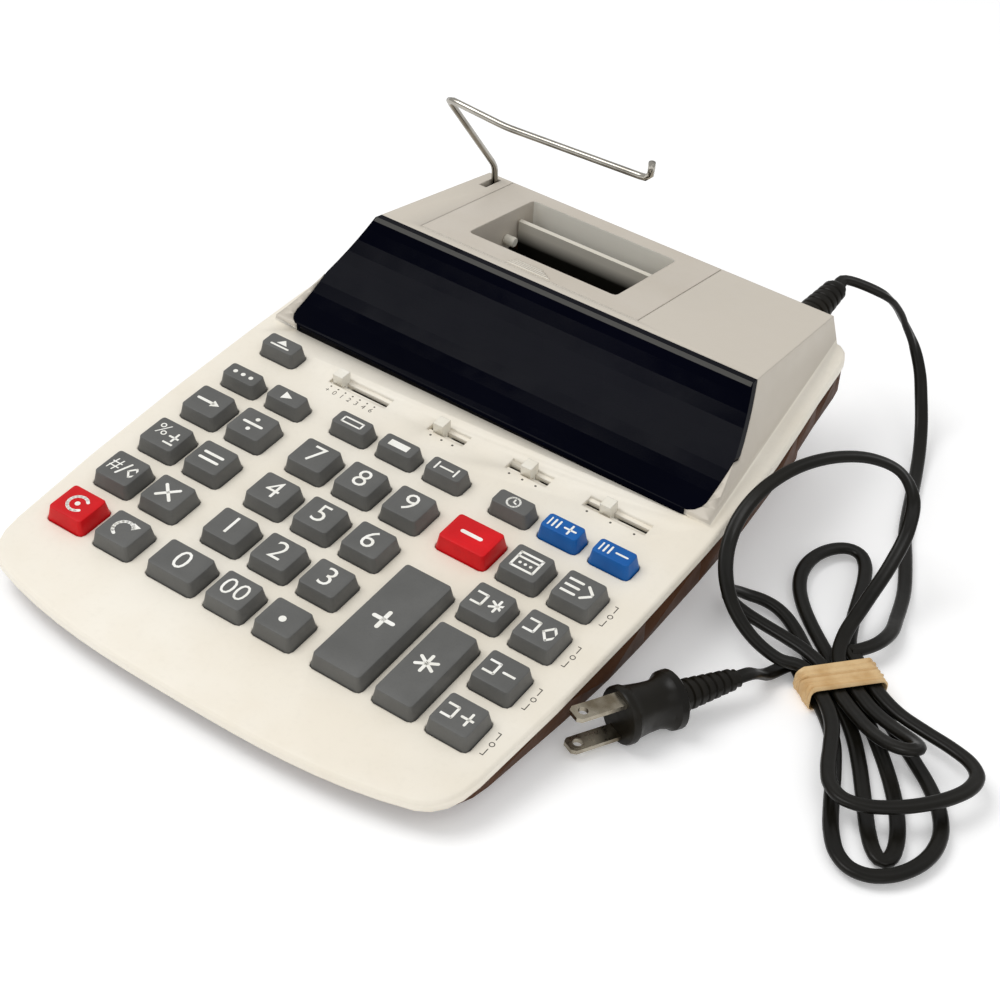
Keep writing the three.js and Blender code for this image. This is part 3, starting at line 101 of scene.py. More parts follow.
def spread(tree, source, low, high, a=0.35, b=0.65):
    """The source from a to b, stretched to run from low to high."""
    node = add(tree, "ShaderNodeMapRange")
    node.inputs["From Min"].default_value = a
    node.inputs["From Max"].default_value = b
    node.inputs["To Min"].default_value = low
    node.inputs["To Max"].default_value = high
    tree.links.new(source, node.inputs["Value"])
    return node.outputs["Result"]


def mixed(tree, factor, a, b):
    """Colour a where the factor is 0 and b where it is 1."""
    node = add(tree, "ShaderNodeMix")
    node.data_type = "RGBA"
    for socket, value in ((node.inputs[6], a), (node.inputs[7], b)):
        if isinstance(value, tuple):
            socket.default_value = (*value, 1)
        else:
            tree.links.new(value, socket)
    tree.links.new(factor, node.inputs[0])
    return node.outputs[2]


def linear(hexed):
    """Linear colour of a six-figure screen colour."""
    out = []
    for shift in (16, 8, 0):
        v = ((hexed >> shift) & 255) / 255
        out.append(v / 12.92 if v <= 0.04045 else ((v + 0.055) / 1.055) ** 2.4)
    return tuple(out)


def shade(color, share):
    return tuple(c * share for c in color)


def surface(name, color, rough, worn, grain=2500.0, bump=0.05, patch=40.0, metal=0.0, gloss=0.5, edge=0.0,
            speck=0.35):
    """Plastic, rubber or metal with blotches, a fine grain and its own gloss."""
    material, tree, shader = node_tree(name)
    base = mixed(tree, spread(tree, noise(tree, patch), 0, 1), color, worn)
    base = mixed(tree, spread(tree, noise(tree, patch * 22, 5), 0, speck, 0.52, 0.8), base, shade(worn, 0.8))
    tree.links.new(base, shader.inputs["Base Color"])
    shader.inputs["Metallic"].default_value = metal
    shader.inputs["Specular IOR Level"].default_value = gloss
    sheen = spread(tree, noise(tree, patch * 6), rough - 0.05, rough + 0.07)
    tree.links.new(sheen, shader.inputs["Roughness"])
    lump = add(tree, "ShaderNodeBump")
    lump.inputs["Strength"].default_value = bump
    lump.inputs["Distance"].default_value = 0.0002
    tree.links.new(noise(tree, grain, 2), lump.inputs["Height"])
    if edge:
        soft = add(tree, "ShaderNodeBevel", samples=4)
        soft.inputs["Radius"].default_value = edge
        tree.links.new(soft.outputs["Normal"], lump.inputs["Normal"])
    tree.links.new(lump.outputs["Normal"], shader.inputs["Normal"])
    return material


def finish_of(material):
    """Tree, shader and base colour of a surface, for a tint laid over it."""
    tree = material.node_tree
    shader = tree.nodes["Principled BSDF"]
    return tree, shader, shader.inputs["Base Color"].links[0].from_socket


def axes(tree, kind, output):
    """X, Y and Z of a place or direction that a node gives."""
    source = add(tree, kind)
    split = add(tree, "ShaderNodeSeparateXYZ")
    tree.links.new(source.outputs[output], split.inputs[0])
    return split.outputs


def case_material():
    """Cream deck with a greyer housing behind the display, parted at the housing's foot."""
    material = surface("cream_plastic", linear(0xF4EEE1), 0.45, linear(0xEFE7D7), 1800, 0.10, 22,
                       gloss=0.35, edge=0.0008, speck=0.14)
    tree, shader, base = finish_of(material)
    place = axes(tree, "ShaderNodeTexCoord", "Object")
    plane = add(tree, "ShaderNodeMath", operation="MULTIPLY_ADD")
    plane.inputs[1].default_value = -math.tan(DECK_TILT)
    plane.inputs[2].default_value = -DECK_RISE - DECK_SETBACK * math.tan(DECK_TILT)
    tree.links.new(place["Y"], plane.inputs[0])
    height = add(tree, "ShaderNodeMath", operation="ADD")
    tree.links.new(place["Z"], height.inputs[0])
    tree.links.new(plane.outputs[0], height.inputs[1])
    over = spread(tree, height.outputs[0], 0, 1, 0.0006, 0.0012)
    behind = spread(tree, place["Y"], 0, 1, 0.0195, 0.0205)
    both = add(tree, "ShaderNodeMath", operation="MULTIPLY")
    tree.links.new(over, both.inputs[0])
    tree.links.new(behind, both.inputs[1])
    tinted = mixed(tree, both.outputs[0], base, linear(0xCFC7BA))
    tree.links.new(tinted, shader.inputs["Base Color"])
    return material


def printer_material():
    """Dark printer frame whose paper guide at the back is pale at its top."""
    material = surface("printer_plastic", linear(0x14130E), 0.5, linear(0x1C1A14), 1800, 0.08, 40, gloss=0.2)
    tree, shader, base = finish_of(material)
    place = axes(tree, "ShaderNodeTexCoord", "Object")
    back = spread(tree, place["Y"], 0, 1, 0.1082, 0.1086)
    height = spread(tree, place["Z"], 0, 1, 0.0455, 0.0515)
    guide = mixed(tree, height, base, linear(0xDAD5C8))
    tree.links.new(mixed(tree, back, base, guide), shader.inputs["Base Color"])
    return material


def cover_material():
    """Printer cover; faces that turn to the front (the chute's back wall, the front lip) are painted paler,
    as if lit.
    """
    material = surface("cover_plastic", linear(0xCFC7BB), 0.45, linear(0xC9C0B2), 1800, 0.10, 22,
                       gloss=0.35, edge=0.0007, speck=0.12)
    tree, shader, base = finish_of(material)
    # Painted light: the more a face turns towards the front (-Y), the more it is painted a pale, lit cream.
    faced = axes(tree, "ShaderNodeNewGeometry", "Normal")
    painted_lit_faces = spread(tree, faced["Y"], 1, 0, -0.75, -0.35)
    tree.links.new(mixed(tree, painted_lit_faces, base, linear(0xF7F4EA)), shader.inputs["Base Color"])
    return material


looks = {
    "cream": case_material(),
    "switch": surface("switch_plastic", linear(0xF3EFE4), 0.4, linear(0xE9E3D3), 2000, 0.05, 60, edge=0.0004),
    "cover": cover_material(),
    # Painted shade: the bottom case's dark warm brown is its shaded undercut, with a painted warm reflection
    # from a table.
    "brown": surface("shaded_brown_plastic", linear(0x55341D), 0.55, linear(0x462915), 1500, 0.12, 30, gloss=0.12,
                     edge=0.0006),
    "lens": surface("navy_lens", linear(0x00010A), 0.14, linear(0x01020E), 400, 0.01, 12, gloss=0.03),
    "bevel": surface("dark_bevel", linear(0x3A3936), 0.5, linear(0x3D3C39), 2000, 0.08, 40),
    "steel": surface("rolled_steel", linear(0x8B8C8E), 0.38, linear(0x77777A), 3000, 0.1, 50, metal=1.0),
    "chrome": surface("chromed_wire", linear(0xB5B1A8), 0.16, linear(0x8E8A82), 900, 0.04, 70, metal=1.0),
    "frame": printer_material(),
    "roller": surface("feed_rubber", linear(0x25241F), 0.75, linear(0x34322C), 1200, 0.15, 90),
    "ink": surface("inked_felt", linear(0x231C3A), 0.9, linear(0x141022), 700, 0.3, 120),
    "board": surface("coated_board", linear(0x2C6539), 0.5, linear(0x1F4C2A), 900, 0.05, 60),
    "white": surface("white_gear", linear(0xE8E4D8), 0.45, linear(0xDAD5C6), 1500, 0.05, 90),
    "grey": surface("grey_keys", linear(0x646462), 0.45, linear(0x5D5D5B), 2600, 0.16, 60, gloss=0.3),
    "red": surface("red_keys", linear(0xE00A16), 0.4, linear(0xCC0913), 2600, 0.12, 60, gloss=0.25),
    "blue": surface("blue_keys", linear(0x1062AE), 0.4, linear(0x0D57A0), 2600, 0.12, 60, gloss=0.25),
    "legend": surface("white_legend", linear(0xFAF9F4), 0.5, linear(0xEFEDE4), 1500, 0.03, 200),
    "print": surface("deck_print", linear(0x4E4A42), 0.6, linear(0x5E594F), 1500, 0.03, 200),
    "cord": surface("cord_vinyl", linear(0x0E0D09), 0.33, linear(0x15130E), 500, 0.12, 60, gloss=0.22),
    "plug": surface("plug_vinyl", linear(0x110F0B), 0.36, linear(0x19160F), 700, 0.12, 50, gloss=0.2),
    "blade": surface("nickel_blade", linear(0xB9B2A2), 0.3, linear(0x7E7462), 700, 0.15, 90, metal=1.0),
    "band": surface("tan_rubber", linear(0xDFC08F), 0.55, linear(0xC9A26C), 500, 0.3, 120),
}


# Meshes

def piece(name, mesh, body, look, replaced=(), smooth=30):
    """Puts a mesh in the scene on its body, with its look and the CAD nodes it replaces."""
    thing = bpy.data.objects.new(name, mesh)
    bpy.context.scene.collection.objects.link(thing)
    for one in (look if isinstance(look, (list, tuple)) else [look]):
        mesh.materials.append(looks[one])
    mesh.shade_smooth()
    mesh.set_sharp_from_angle(angle=math.radians(smooth))
    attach(thing, body)
    if replaced:
        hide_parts(*replaced)
    return thing


def mesh_of(name, points, faces, place=None, indices=None):
    mesh = bpy.data.meshes.new(name)
    mesh.from_pydata([tuple(p) for p in points], [], [tuple(f) for f in faces])
    if indices is not None:
        mesh.polygons.foreach_set("material_index", indices)
    if place is not None:
        mesh.transform(place)
    mesh.update()
    return mesh


def rounded(x0, x1, y0, y1, radius, steps=4):
    """Corner points of a rounded rectangle, anticlockwise."""
    out = []
    for cx, cy, start in ((x1 - radius, y0 + radius, -90), (x1 - radius, y1 - radius, 0),
                          (x0 + radius, y1 - radius, 90), (x0 + radius, y0 + radius, 180)):
        for i in range(steps + 1):
            a = math.radians(start + 90 * i / steps)
            out.append((cx + radius * math.cos(a), cy + radius * math.sin(a)))
    return out


def lofted(rings, close_start=True, close_end=True):
    """Points and faces of a skin over rings of equal count."""
    count = len(rings[0])
    points = [p for ring in rings for p in ring]
    faces = []
    for r in range(len(rings) - 1):
        for i in range(count):
            j = (i + 1) % count
            faces.append((r * count + i, r * count + j, (r + 1) * count + j, (r + 1) * count + i))
    if close_start:
        faces.append(tuple(reversed(range(count))))
    if close_end:
        faces.append(tuple(range((len(rings) - 1) * count, len(rings) * count)))
    return points, faces


def join(points, faces, more_points, more_faces):
    """Adds one mesh's points and faces to another's."""
    start = len(points)
    points += more_points
    faces += [tuple(start + i for i in face) for face in more_faces]


class Shapes:
    """Collects thin raised shapes on a plane: strokes, dots, rings and digits."""

    def __init__(self, rise=0.06, sink=0.3):
        self.points, self.faces, self.rise, self.sink = [], [], rise, sink

    def polygon(self, outline, lift=0.0):
        start, n = len(self.points), len(outline)
        self.points += [(x, y, -self.sink) for x, y in outline]
        self.points += [(x, y, self.rise + lift) for x, y in outline]
        self.faces += [tuple(start + n + i for i in range(n)), tuple(start + i for i in reversed(range(n)))]
        for i in range(n):
            j = (i + 1) % n
            self.faces.append((start + i, start + j, start + n + j, start + n + i))

    def stroke(self, a, b, width):
        """A round-ended bar, a hair off its neighbours' height so that crossed bars don't flicker."""
        (ax, ay), (bx, by) = a, b
        turn = math.atan2(by - ay, bx - ax)
        outline = []
        for cx, cy, start in ((bx, by, -90), (ax, ay, 90)):
            for i in range(7):
                t = turn + math.radians(start + 30 * i)
                outline.append((cx + width / 2 * math.cos(t), cy + width / 2 * math.sin(t)))
        self.polygon(outline, 0.0004 * (len(self.points) % 7))

    def line(self, points, width, closed=False):
        pairs = list(zip(points, points[1:])) + ([(points[-1], points[0])] if closed else [])
        for a, b in pairs:
            self.stroke(a, b, width)

    def arc(self, x, y, radius, start, end, width):
        steps = max(3, int(abs(end - start) / 22))
        angles = [math.radians(start + (end - start) * i / steps) for i in range(steps + 1)]
        self.line([(x + radius * math.cos(t), y + radius * math.sin(t)) for t in angles], width)

    def dot(self, x, y, radius):
        angles = [math.tau * i / 14 for i in range(14)]
        self.polygon([(x + radius * math.cos(t), y + radius * math.sin(t)) for t in angles])

    def text(self, body, x, y, size, thin=-0.006):
        curve = bpy.data.curves.new("digits", "FONT")
        curve.body, curve.size, curve.offset = body, size, thin * size
        curve.align_x = curve.align_y = "CENTER"
        curve.resolution_u = 3
        curve.extrude = (self.rise + self.sink) / 2
        holder = bpy.data.objects.new("digits", curve)
        bpy.context.scene.collection.objects.link(holder)
        bpy.context.view_layer.update()
        shown = holder.evaluated_get(bpy.context.evaluated_depsgraph_get())
        made = bpy.data.meshes.new_from_object(shown)
        start = len(self.points)
        middle = (self.rise - self.sink) / 2
        self.points += [(v.co.x + x, v.co.y + y, v.co.z + middle) for v in made.vertices]
        self.faces += [tuple(start + i for i in p.vertices) for p in made.polygons]
        bpy.data.objects.remove(holder)
        bpy.data.meshes.remove(made)


def smooth_path(points, step):
    """Centripetal Catmull-Rom curve through the points, resampled at even steps."""
    pts = [np.array(p, float) for p in points]
    pts = [2 * pts[0] - pts[1]] + pts + [2 * pts[-1] - pts[-2]]
    out = []
    for i in range(1, len(pts) - 2):
        p0, p1, p2, p3 = pts[i - 1:i + 3]
        t1 = max(np.linalg.norm(p1 - p0), 1e-6) ** 0.5
        t2 = t1 + max(np.linalg.norm(p2 - p1), 1e-6) ** 0.5
        t3 = t2 + max(np.linalg.norm(p3 - p2), 1e-6) ** 0.5
        for t in np.linspace(t1, t2, 12, endpoint=False):
            a1 = (t1 - t) / t1 * p0 + t / t1 * p1
            a2 = (t2 - t) / (t2 - t1) * p1 + (t - t1) / (t2 - t1) * p2
            a3 = (t3 - t) / (t3 - t2) * p2 + (t - t2) / (t3 - t2) * p3
            b1 = (t2 - t) / t2 * a1 + t / t2 * a2
            b2 = (t3 - t) / (t3 - t1) * a2 + (t - t1) / (t3 - t1) * a3
            out.append((t2 - t) / (t2 - t1) * b1 + (t - t1) / (t2 - t1) * b2)
    out.append(pts[-2])
    out = np.array(out)
    run = np.r_[0, np.cumsum(np.linalg.norm(np.diff(out, axis=0), axis=1))]
    even = np.linspace(0, run[-1], int(run[-1] / step) + 1)
    return np.column_stack([np.interp(even, run, out[:, k]) for k in range(3)])


# Mains cord: route points in millimetres, as in the CAD model

CORD_WIDTH, CORD_HEIGHT = 5.0, 2.6
BAND_PLACE, BAND_TURN, BAND_WIDTH = (147.0, 13.8), math.radians(-38), 11.0
STRAND_PITCH, LAYER_PITCH, WAIST_REACH, WAIST_LOW = 6.4, 3.6, 8.2, 2.6
STRANDS = ((3, 1), (0, 1), (2, 1), (1, 1), (1, 0), (2, 0), (3, 0), (0, 0))
LOOPS = ((50.6, 45.9, -2.5, 9.9, 1, 1),
         (-50.9, 71.8, 19.7, 49.1, 1.6, 1),
         (31.9, 6.3, 3.8, 13.2, 1, 1),
         (-39.6, 18.7, -12, 6.2, 1, 1),
         (62.8, 8.6, -19, 2.5, 1, 1),
         (-58.4, 26, 24.4, 3.7, 1, 1),
         (69, 32.1, -20.1, 3.5, 1, 1))
PLUG_FACE, PLUG_TURN, PLUG_LENGTH = (103.5, -51.7, 10.0), math.radians(244.5), 44.0
RELIEF_X, RELIEF_Z, RELIEF_LENGTH, BACK_Y = 63.0, 1.5, 27.0, 230.5


def hank_point(along, across, up):
    c, s = math.cos(BAND_TURN), math.sin(BAND_TURN)
    return (BAND_PLACE[0] + along * c - across * s, BAND_PLACE[1] + along * s + across * c, up)


def strand_across(column):
    return (column - 1.5) * STRAND_PITCH


def strand_up(layer):
    return WAIST_LOW + layer * LAYER_PITCH


def loop_points(loop, start, end):
    """One loop outside the band: how far it reaches, its width, lean, height and the bulge of each half."""
    reach, width, lean, height, first, second = loop
    side = math.copysign(1, reach)
    turn = 1 if start[0] > end[0] else -1
    rise = height - (strand_up(start[1]) + strand_up(end[1])) / 2
    out = []
    for i in range(1, 16):
        t = i / 16
        s = math.sin(math.pi * t)
        bulge = first if t < 0.5 else second
        spread_out = width / 2 * math.sin(math.tau * t) * s ** (0.2 if bulge > 1 else 0.6)
        across = strand_across(start[0]) + (strand_across(end[0]) - strand_across(start[0])) * t
        across += turn * spread_out + lean * s ** 1.5
        k = min(1, max(0, (t - 0.4) / 0.2))
        layer = start[1] + (end[1] - start[1]) * k * k * (3 - 2 * k)
        along = side * WAIST_REACH + reach * s ** bulge
        out.append(hank_point(along, across, strand_up(layer) + rise * s * s))
    return out


def hank_points():
    out = []
    for i, (column, layer) in enumerate(STRANDS):
        down = 1 if i % 2 == 0 else -1
        for side in (-down, down):
            out.append(hank_point(side * WAIST_REACH, strand_across(column), strand_up(layer)))
        if i < len(LOOPS):
            out += loop_points(LOOPS[i], STRANDS[i], STRANDS[i + 1])
    return out


def cord_points():
    back = DECK.to_3x3() @ Vector((0, 1, 0))
    start = DECK @ (Vector((RELIEF_X, BACK_Y + RELIEF_LENGTH + 0.6, RELIEF_Z)) * MM) / MM
    lead = start + back * CORD_WIDTH
    route = [(77.2, 167.3, 52.5), (81.6, 172.8, 46.5), (85, 176.8, 39), (90, 178.5, 31), (95.7, 175.8, 23),
             (100.4, 171, 15.5), (105, 164.5, 9.5), (110, 154.5, 5), (114.8, 142.2, 2.6), (127, 107, 2),
             (134.6, 90.8, 2), (141.3, 75.3, 2), (146, 58.8, 3.5), (148.6, 46.8, 5.6), (147.6, 36.8, 6.6),
             (143.5, 29.3, 6.6)]
    tail = Vector((math.cos(PLUG_TURN), math.sin(PLUG_TURN), 0))
    end = Vector(PLUG_FACE) - tail * (PLUG_LENGTH + 0.3)
    into = hank_point(-WAIST_REACH - 0.3 - CORD_WIDTH, strand_across(3), strand_up(1))
    out_of = hank_point(-WAIST_REACH - 0.3 - CORD_WIDTH, strand_across(0), strand_up(0))
    return [tuple(start), tuple(lead), *route, into, *hank_points(), out_of, (126.5, 2.3, 4.4),
            tuple(end - tail * CORD_WIDTH), tuple(end)]


def twin_section():
    """Two round cores side by side with a groove between them."""
    radius = CORD_HEIGHT / 2
    offset = CORD_WIDTH / 2 - radius
    out = []
    for side, start in ((1, -118), (-1, 62)):
        for i in range(8):
            a = math.radians(start + 236 * i / 7)
            out.append((side * offset + radius * math.cos(a), radius * math.sin(a)))
    return out


def make_cord():
    path = smooth_path(cord_points(), 1.5)
    section = twin_section()
    rings = []
    for i, centre in enumerate(path):
        ahead = Vector(path[min(i + 1, len(path) - 1)] - path[max(i - 1, 0)]).normalized()
        side = ahead.cross(Vector((0, 0, 1))).normalized()
        up = side.cross(ahead)
        rings.append([Vector(centre) + side * x + up * y for x, y in section])
    points, faces = lofted(rings)
    mesh = mesh_of("mains_cord", points, [tuple(reversed(f)) for f in faces], Matrix.Scale(MM, 4))
    replaced = ("power_cord", "cord_hank", "plug_lead")
    cord = piece("mains_cord", mesh, "case", "cord", replaced, 60)
    length = float(np.linalg.norm(np.diff(path, axis=0), axis=1).sum()) * MM
    return cord, path, length


mains_cord, cord_path, cord_length = make_cord()


def make_band():
    """Rubber band wound twice round the waist, with creases across its width."""
    half, low, high = STRAND_PITCH * 2 + 0.9, 0.5, WAIST_LOW + LAYER_PITCH + CORD_HEIGHT / 2 + 1.5
    ring = rounded(-half, half, low, high, 2.6, 6)
    rings = []
    steps = 22
    for k in range(steps + 1):
        along = (k / steps - 0.5) * BAND_WIDTH
        crease = 0.35 * math.sin(k * 1.9) + 0.22 * math.sin(k * 3.1 + 1) - 0.3 * abs(k / steps - 0.5)
        turned = []
        for i, (x, z) in enumerate(ring):
            swell = 1 + (crease + 0.12 * math.sin(i * 0.8 + k * 0.5)) / 14
            wave = 0.5 * math.sin(i * 0.45 + k * 0.2)
            turned.append(hank_point(along + wave, x * swell, max(0.15, low + (z - low) * (1 + crease / 12))))
        rings.append(turned)
    bore = rounded(-half + 0.8, half - 0.8, low + 0.6, high - 0.8, 2.0, 6)
    inner = [[hank_point(along, x, z) for x, z in bore]
             for along in (BAND_WIDTH / 2 - 0.2, -BAND_WIDTH / 2 + 0.2)]
    points, faces = lofted(rings + inner + [rings[0]], False, False)
    mesh = mesh_of("rubber_band_wound", points, faces, Matrix.Scale(MM, 4))
    return piece("rubber_band_wound", mesh, "case", "band", ("rubber_band",), 50)


def superellipse(half_x, half_z, power, count=28):
    out = []
    for i in range(count):
        t = math.tau * i / count
        c, s = math.cos(t), math.sin(t)
        x = half_x * math.copysign(abs(c) ** (2 / power), c)
        out.append((x, half_z * math.copysign(abs(s) ** (2 / power), s)))
    return out


# Plug's blades: half the gap between them, then half their width and thickness, and the hole near the tip
BLADE_OFFSET, BLADE_HALF, BLADE_THICK = 6.35, 3.15, 0.75
BLADE_ROOT, BLADE_SHOULDER, BLADE_TIP, TIP_HALF = -1, 15.6, 17, 2.0
HOLE_RADIUS, HOLE_PLACE = 1.6, 13.5


def plug_blade(middle):
    """One flat blade with a round hole, lying level at the given height."""
    outline = [(-BLADE_HALF, BLADE_ROOT), (BLADE_HALF, BLADE_ROOT), (BLADE_HALF, BLADE_SHOULDER),
               (TIP_HALF, BLADE_TIP), (-TIP_HALF, BLADE_TIP), (-BLADE_HALF, BLADE_SHOULDER)]
    angles = [math.tau * i / 12 for i in range(12)]
    hole = [(HOLE_RADIUS * math.cos(t), HOLE_PLACE + HOLE_RADIUS * math.sin(t)) for t in angles]
    blade = bmesh.new()
    for level in (middle - BLADE_THICK, middle + BLADE_THICK):
        edges = []
        for border in (outline, hole):
            corners = [blade.verts.new((x, y, level)) for x, y in border]
            edges += [blade.edges.new((a, b)) for a, b in zip(corners, corners[1:] + corners[:1])]
        bmesh.ops.triangle_fill(blade, use_beauty=True, edges=edges)
    blade.verts.ensure_lookup_table()
    n = len(outline) + len(hole)
    for first, size in ((0, len(outline)), (len(outline), len(hole))):
        for i in range(size):
            a, b = first + i, first + (i + 1) % size
            blade.faces.new([blade.verts[k] for k in (a, b, n + b, n + a)])
    bmesh.ops.recalc_face_normals(blade, faces=blade.faces)
    blade.verts.index_update()
    points = [tuple(v.co) for v in blade.verts]
    faces = [tuple(v.index for v in f.verts) for f in blade.faces]
    blade.free()
    return points, faces


def make_plug():
    """Moulded plug on its side: round face, flat grips, collar and ribbed tail."""
    profile = [(0, 8.9, 8.9, 2.0), (0.6, 9.3, 9.3, 2.0), (2.4, 9.3, 9.3, 2.0), (3.2, 8.6, 8.8, 2.0),
               (5.0, 7.6, 8.4, 2.3), (9.0, 6.6, 7.9, 2.6), (13.0, 6.5, 7.6, 2.6), (16.0, 7.6, 8.4, 2.3),
               (17.2, 9.4, 9.5, 2.0), (19.6, 9.5, 9.6, 2.0), (20.6, 8.2, 8.4, 2.0), (21.6, 5.6, 5.6, 2.2)]
    for i in range(7):
        y, r = 22.2 + i * 3.0, 5.3 - i * 0.28
        profile += [(y, r, r * 0.9, 2.2), (y + 1.5, r, r * 0.9, 2.2), (y + 1.7, r - 0.8, r * 0.9 - 0.8, 2.2),
                    (y + 2.6, r - 0.8, r * 0.9 - 0.8, 2.2)]
    profile.append((PLUG_LENGTH, 3.2, 2.4, 2.4))
    rings = [[(x, -y, z) for x, z in superellipse(hx, hz, p)] for y, hx, hz, p in profile]
    points, faces = lofted(rings)
    split = len(faces)
    for z in (-BLADE_OFFSET, BLADE_OFFSET):
        join(points, faces, *plug_blade(z))
    along = Vector((math.cos(PLUG_TURN), math.sin(PLUG_TURN), 0))
    up = Vector((0, 0, 1))
    turn = Matrix((along.cross(up), along, up)).transposed().to_4x4()
    place = Matrix.Scale(MM, 4) @ Matrix.Translation(PLUG_FACE) @ turn
    mesh = mesh_of("moulded_plug", points, faces, place, [0] * split + [1] * (len(faces) - split))
    return piece("moulded_plug", mesh, "case", ["plug", "blade"], ("plug",), 35)


def make_relief():
    """Ribbed bush where the cord leaves the back."""
    rings = []
    for y, r in ((-4.2, 4.6), (-2.9, 4.6), (-2.8, 3.6), (0.2, 3.6), (0.3, 5.7), (2.6, 5.9), (3.0, 5.0)):
        rings.append([(x, y, z) for x, z in superellipse(r, r, 2)])
    for i in range(6):
        y, r = 3.6 + i * 3.8, 5.8 - i * 0.24
        for dy, dr in ((0, -0.1), (0.3, 0), (2.1, 0), (2.4, -0.9), (3.5, -0.9)):
            rings.append([(x, y + dy, z) for x, z in superellipse(r + dr, (r + dr) * (1 - 0.03 * i), 2)])
    rings.append([(x, RELIEF_LENGTH, z) for x, z in superellipse(3.6, 2.6, 2.4)])
    points, faces = lofted(rings)
    place = DECK @ Matrix.Scale(MM, 4) @ Matrix.Translation((RELIEF_X, BACK_Y, RELIEF_Z))
    mesh = mesh_of("ribbed_bush", points, [tuple(reversed(f)) for f in faces], place)
    return piece("ribbed_bush", mesh, "case", "plug", ("strain_relief",), 35)


band = make_band()
plug = make_plug()
relief = make_relief()


# Keys

CAP_HEIGHT, CAP_TAPER, SKIRT = 5.3, 1.1, -2.4
LEGEND_SINK, DEEP_KEY, DEEP_GROWTH, SHALLOW_GROWTH = 0.08, 10, 1.32, 1.12
KEY_LOOKS = {"clear": "red", "minus": "red", "tax_plus": "blue", "tax_minus": "blue"}


def cap_rings(width, depth):
    """Outline of a key cap at rising levels, its edges softened and its top slightly dished."""
    levels = [(SKIRT, 0, 1.5), (0, 0, 1.5), (CAP_HEIGHT - 0.5, CAP_TAPER * 0.74, 1.25),
              (CAP_HEIGHT - 0.2, CAP_TAPER * 0.78, 1.2), (CAP_HEIGHT - 0.06, CAP_TAPER * 0.87, 1.1),
              (CAP_HEIGHT, CAP_TAPER, 0.95)]
    rings = []
    for z, inward, radius in levels:
        half_x, half_y = width / 2 - inward, depth / 2 - inward
        ring = rounded(-half_x, half_x, -half_y, half_y, radius)
        rings.append([(x, y, z) for x, y in ring])
    top = rings[-1]
    for share in (0.75, 0.45, 0.15):
        rings.append([(x * share, y * share, CAP_HEIGHT - 0.14 * (1 - share ** 2)) for x, y, _ in top])
    return rings


def star(shapes, x, radius, first, width):
    """Three strokes through one point."""
    for turn in (first, first + 60, first + 120):
        a = math.radians(turn)
        dx, dy = radius * math.cos(a), radius * math.sin(a)
        shapes.line([(x + dx, dy), (x - dx, -dy)], width)


